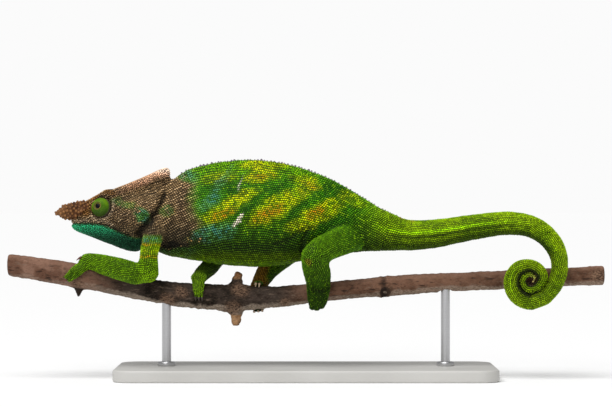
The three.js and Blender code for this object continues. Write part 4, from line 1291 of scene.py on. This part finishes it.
for side, name in ((-1, "left"), (1, "right")):
    middle, gaze = eyes[side]
    facing = Vector(gaze).to_track_quat("Z", "Y").to_matrix().to_4x4()
    turret = round_piece(f"eye_lids_{name}", 96, 64, turret_radius)
    ball = read(turret.data, "co") / mm
    tilt = np.degrees(np.arccos(np.clip(ball[:, 2] / np.linalg.norm(ball, axis=1), -1, 1)))
    turn = np.arctan2(ball[:, 1], ball[:, 0])
    folds = 0.14 * np.cos(tilt * 1.45) * smoothstep(18, 26, tilt) * (0.6 + 0.4 * np.cos(turn * 3 + tilt / 9))
    lid_rim = 0.42 * ring(tilt, 25, 4.5)
    hole = -2.6 * smoothstep(21.5, 17.5, tilt)
    grain = 0.09 * np.cos(turn * 34 + np.round(tilt / 5.0) * 1.7) * smoothstep(24, 34, tilt)
    ball = ball * (1 + (folds + lid_rim + hole + grain) / turret_radius)[:, None]
    write(turret.data, ball * mm)
    turret.data.transform(Matrix.Translation(Vector(middle) * mm) @ facing)
    paint = Paint(f"lid_skin_{name}", 0.15)
    at = paint.here()
    toward, from_middle = facing_gaze(paint, [float(c) * mm for c in middle], gaze)
    speck, cloud = paint.noise(at, 900.0, 2.0), paint.noise(at, 180.0, 3.0)
    wrinkle = (toward.maths("ARCCOSINE") * 62.0).maths("SINE")
    colour = paint.mix(cloud.ramp(0.35, 0.65), (0.066, 0.165, 0.002), (0.125, 0.265, 0.003))
    for share, tone in (
        (speck.ramp(0.52, 0.66) * 0.6, (0.035, 0.110, 0.003)),
        # Painted shade: the lower part of the turret is darker.
        (paint.axis(from_middle, 2).ramp(0.0015, -0.005) * 0.85, (0.020, 0.042, 0.003)),
        (wrinkle.ramp(0.4, 1.0) * 0.45, (0.022, 0.060, 0.002)),
        (toward.ramp(0.885, 0.925) * 0.8, (0.11, 0.10, 0.02)),
        (toward.ramp(0.30, 0.10), (0.09, 0.075, 0.05)),
    ):
        colour = paint.mix(share, colour, tone)
    paint.set(Base_Color=colour, Roughness=0.5, Normal=paint.bump(speck, 0.5, 0.0002))
    turret.data.materials.append(paint.material)
    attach(turret, "root")
    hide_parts(f"eye_turret_{name}")
    eyeball = round_piece(f"eye_{name}", 48, 32, ball_radius)
    eye_centre = Vector(middle + np.array(gaze) * ball_ahead) * mm
    eyeball.data.transform(Matrix.Translation(eye_centre) @ facing)
    paint = Paint(f"wet_eye_{name}", 0.08)
    toward, _ = facing_gaze(paint, eye_centre, gaze)
    pupil = paint.mix(toward.ramp(0.72, 0.745), (0.66, 0.46, 0.12), (0.003, 0.002, 0.006))
    paint.set(Base_Color=pupil, Roughness=0.10)
    eyeball.data.materials.append(paint.material)
    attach(eyeball, "root")
    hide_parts(f"eyeball_{name}")

# ------------------------------------------------------------------ branch
# A bare, dead branch cut off square at both ends. Its bark is thin and dry, red brown where it is
# whole, grey and peeling in the middle, with knots and the broken stubs of side twigs.
branch = joined_copy(["perch_branch"], 0.0)
in_one_shell(branch, "branch", 0.95)
apply_modifier(branch, "SMOOTH", factor=0.6, iterations=22)
bark, outward = read(branch.data, "co") / mm, read(branch.data, "normal")
bark_x, bark_y, _ = bark.T
off_middle = bark[:, 2] - branch_height(bark_x)


def bark_grain(p):
    px, py, pz = p
    strands = noise.fractal(Vector((px / 26, py / 5, pz / 5)), 0.9, 2.1, 4)
    flakes = noise.noise(Vector((px / 3.0, py / 2.4, pz / 2.4)))
    crumbs = noise.noise(Vector((px / 1.6, py / 1.2, pz / 1.2)))
    peeling = 1.0 + 1.2 * math.exp(-(((px + 62) / 52) ** 4))
    return 0.40 * strands + peeling * (0.30 * flakes + 0.18 * crumbs)


lift = np.array([bark_grain(p) for p in bark])
# Knots: place along the branch, height above its middle, size, swelling.
knots_at = [
    (-82, 2.0, 4.6, 1.2), (-90.5, -4.0, 5.5, 1.1), (-151, -4.5, 4.5, 1.0), (52, -3.5, 4.5, 1.1),
    (192, 0.0, 5.0, 0.6), (-43, 6.0, 6.0, 1.0), (-48, -7.0, 6.0, 1.0), (-14, -4.0, 3.5, 0.8),
]
knot_mask = np.zeros(len(bark))
for kx, kz, wide, tall in knots_at:
    near = np.hypot(bark_x - kx, (off_middle - kz) * 1.2)
    swelling = np.exp(-((near / wide) ** 2)) - 0.7 * np.exp(-((near / (0.35 * wide)) ** 2))
    lift += tall * swelling * (bark_y < 3)
    knot_mask = np.maximum(knot_mask, np.exp(-((near / wide) ** 4)) * (bark_y < 2))
for ring_x in (49.5, 54.0, -8.0, 187.0):
    lift += 0.35 * ring(bark_x, ring_x, 1.1)
sawn_end, sunk = 197, 0.25
lift *= smoothstep(sawn_end, sawn_end - 7, np.abs(bark_x))
write(branch.data, (bark + outward * (lift - sunk)[:, None]) * mm)
set_attribute(branch.data, "knot", knot_mask)
set_attribute(branch.data, "above", off_middle / 10)
paint = Paint("bark", 0.10)
mix, at = paint.mix, paint.here()
above, knot, along_x = paint.attribute("above"), paint.attribute("knot"), paint.axis(at, 0)
lengthwise = paint.node("ShaderNodeMapping", {}, {"Vector": at, "Scale": (1.0, 3.4, 3.4)})
ridge, fine = paint.noise(lengthwise, 150.0, 5.0, 0.65), paint.noise(lengthwise, 600.0, 4.0, 0.65)
patch = paint.noise(at, 60.0, 5.0, 0.6)
right_arm = along_x.ramp(0.0, 0.02)
grey = along_x.ramp(-0.150, -0.115) * along_x.ramp(0.008, -0.020)
whole = mix(patch.ramp(0.36, 0.64), (0.095, 0.045, 0.026), (0.195, 0.100, 0.062))
left_end = mix(patch.ramp(0.40, 0.60), (0.150, 0.072, 0.045), (0.300, 0.170, 0.120))
whole = mix(along_x.ramp(-0.130, -0.170) * 0.8, whole, left_end)
dead = mix(patch.ramp(0.40, 0.62), (0.012, 0.009, 0.006), (0.056, 0.040, 0.031))
# Painted highlight: the top of the branch is lighter, pinkish brown.
top_highlight = (above + patch * 0.5).ramp(0.45, 0.90) * (1 - grey)
peeled = (above * -1.0 + patch * 0.9 + along_x.ramp(-0.010, 0.020) * 0.14).ramp(0.84, 1.05)
peeled = peeled * (0.30 + 0.70 * along_x.ramp(-0.150, -0.100)) * (1 - 0.35 * right_arm)
peeled_tone = mix(fine.ramp(0.4, 0.6), (0.20, 0.15, 0.11), (0.46, 0.37, 0.29))
knot_tone = mix(fine.ramp(0.42, 0.58), (0.020, 0.012, 0.009), (0.270, 0.160, 0.100))
ring_dark = along_x.ramp(0.0485, 0.0503) * along_x.ramp(0.0535, 0.0517) * 0.6 * fine.ramp(0.36, 0.50)
scar = knot * along_x.ramp(0.030, 0.040) * along_x.ramp(0.070, 0.060)
scar_dark = scar.ramp(0.35, 0.9) * (0.35 + fine.ramp(0.40, 0.55) * 0.55)
scar_heart = scar.ramp(0.988, 0.999) * fine.ramp(0.42, 0.55) * 0.8
twig = along_x.ramp(-0.1545, -0.1525) * along_x.ramp(-0.1455, -0.1475) * above.ramp(-0.70, -0.85)
# Fresh wood shows where the twigs broke off.
broken = above.ramp(1.18, 1.42) * 0.8 + above.ramp(-1.00, -1.16) * along_x.ramp(-0.060, -0.056)
broken = broken * (1 - right_arm) * fine.ramp(0.34, 0.5)
fresh_wood = mix(patch.ramp(0.4, 0.6), (0.30, 0.14, 0.06), (0.52, 0.30, 0.15))
colour = mix(grey, whole, dead)
for share, tone in (
    (ridge.ramp(0.54, 0.62) * 0.75, (0.018, 0.011, 0.008)),
    (ridge.ramp(0.42, 0.34) * 0.45, (0.22, 0.155, 0.115)),
    (top_highlight * 0.62, (0.300, 0.165, 0.112)),
    (peeled * 0.85, peeled_tone),
    (fine.ramp(0.56, 0.66) * 0.32, (0.26, 0.180, 0.130)),
    (fine.ramp(0.44, 0.34) * 0.5, (0.014, 0.009, 0.007)),
    (knot * 0.85, knot_tone),
    (ring_dark + scar_dark, (0.020, 0.013, 0.010)),
    (scar_heart, (0.34, 0.26, 0.20)),
    (twig * 0.9, (0.018, 0.013, 0.010)),
    (broken, fresh_wood),
):
    colour = mix(share, colour, tone)
paint.set(Base_Color=colour, Roughness=0.9, Normal=paint.bump(ridge + fine * 0.5, 0.8, 0.0010))
branch.data.materials.append(paint.material)
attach(branch, "root")
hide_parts("perch_branch")

# ------------------------------------------------------------------ stand
# Museum mount: a board with rounded corners, sprayed light grey, and two turned steel rods that
# stand in it through small collars and run up into holes in the branch.
low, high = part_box("stand_base")
long, deep, thick = high - low
corner, edge_round = 0.014, 0.0014
bpy.ops.object.select_all(action="DESELECT")
bpy.ops.mesh.primitive_cube_add(size=1, location=(low + high) / 2, scale=(long, deep, thick))
base = bpy.context.object
base.name = base.data.name = "display_base"
bpy.ops.object.transform_apply(location=True, rotation=True, scale=True)
bpy.ops.object.mode_set(mode="EDIT")
bpy.ops.mesh.select_mode(type="EDGE")
bpy.ops.mesh.select_all(action="DESELECT")
bpy.ops.object.mode_set(mode="OBJECT")
for edge in base.data.edges:
    ends = [base.data.vertices[v].co for v in edge.vertices]
    edge.select = abs(ends[0].z - ends[1].z) > thick / 2
bpy.ops.object.mode_set(mode="EDIT")
bpy.ops.mesh.bevel(offset=corner, segments=14)
bpy.ops.object.mode_set(mode="OBJECT")
bevel = {"width": edge_round, "segments": 4, "limit_method": "ANGLE", "angle_limit": math.radians(50)}
apply_modifier(base, "BEVEL", **bevel)
bpy.ops.object.shade_smooth_by_angle(angle=math.radians(35))
paint = Paint("sprayed_paint")
at = paint.here()
peel, cloud = paint.noise(at, 900.0, 2.0), paint.noise(at, 18.0, 2.0)
coat = paint.mix(cloud.ramp(0.3, 0.7), (0.50, 0.49, 0.465), (0.56, 0.55, 0.525))
paint.set(Base_Color=coat, Roughness=0.40 + 0.12 * cloud, Normal=paint.bump(peel, 0.15, 0.0001))
base.data.materials.append(paint.material)
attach(base, "root")
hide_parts("stand_base")


def turned_bar(radius, tall, x, middle_z):
    bpy.ops.mesh.primitive_cylinder_add(vertices=48, radius=radius, depth=tall, location=(x, 0, middle_z))
    bpy.ops.object.transform_apply(location=True, rotation=True, scale=True)
    return bpy.context.object


rod_radius, collar_radius, collar_tall, collar_middle, edge_round = 0.003, 0.0058, 0.0030, 0.0094, 0.0009
into_branch = 0.0015
for number, rod_x in ((1, -0.092), (2, 0.092)):
    node = f"stand_rod_{number}"
    low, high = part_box(node)
    top = high.z + into_branch
    bpy.ops.object.select_all(action="DESELECT")
    rod = turned_bar(rod_radius, top - low.z, rod_x, (top + low.z) / 2)
    collar = turned_bar(collar_radius, collar_tall, rod_x, collar_middle)
    apply_modifier(collar, "BEVEL", width=edge_round, segments=3, limit_method="ANGLE")
    rod.select_set(True)
    bpy.context.view_layer.objects.active = rod
    bpy.ops.object.join()
    rod.name = rod.data.name = f"steel_rod_{number}"
    bpy.ops.object.shade_smooth_by_angle(angle=math.radians(40))
    paint = Paint(f"turned_steel_{number}")
    upward = paint.node("ShaderNodeMapping", {}, {"Vector": paint.here(), "Scale": (0.05, 0.05, 1.0)})
    lathe = paint.noise(upward, 2600.0, 2.0)
    steel = paint.mix(lathe, (0.50, 0.50, 0.51), (0.62, 0.62, 0.63))
    paint.set(Base_Color=steel, Roughness=0.26 + 0.16 * lathe, Metallic=1.0)
    rod.data.materials.append(paint.material)
    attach(rod, "root")
    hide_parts(node)

low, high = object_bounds()
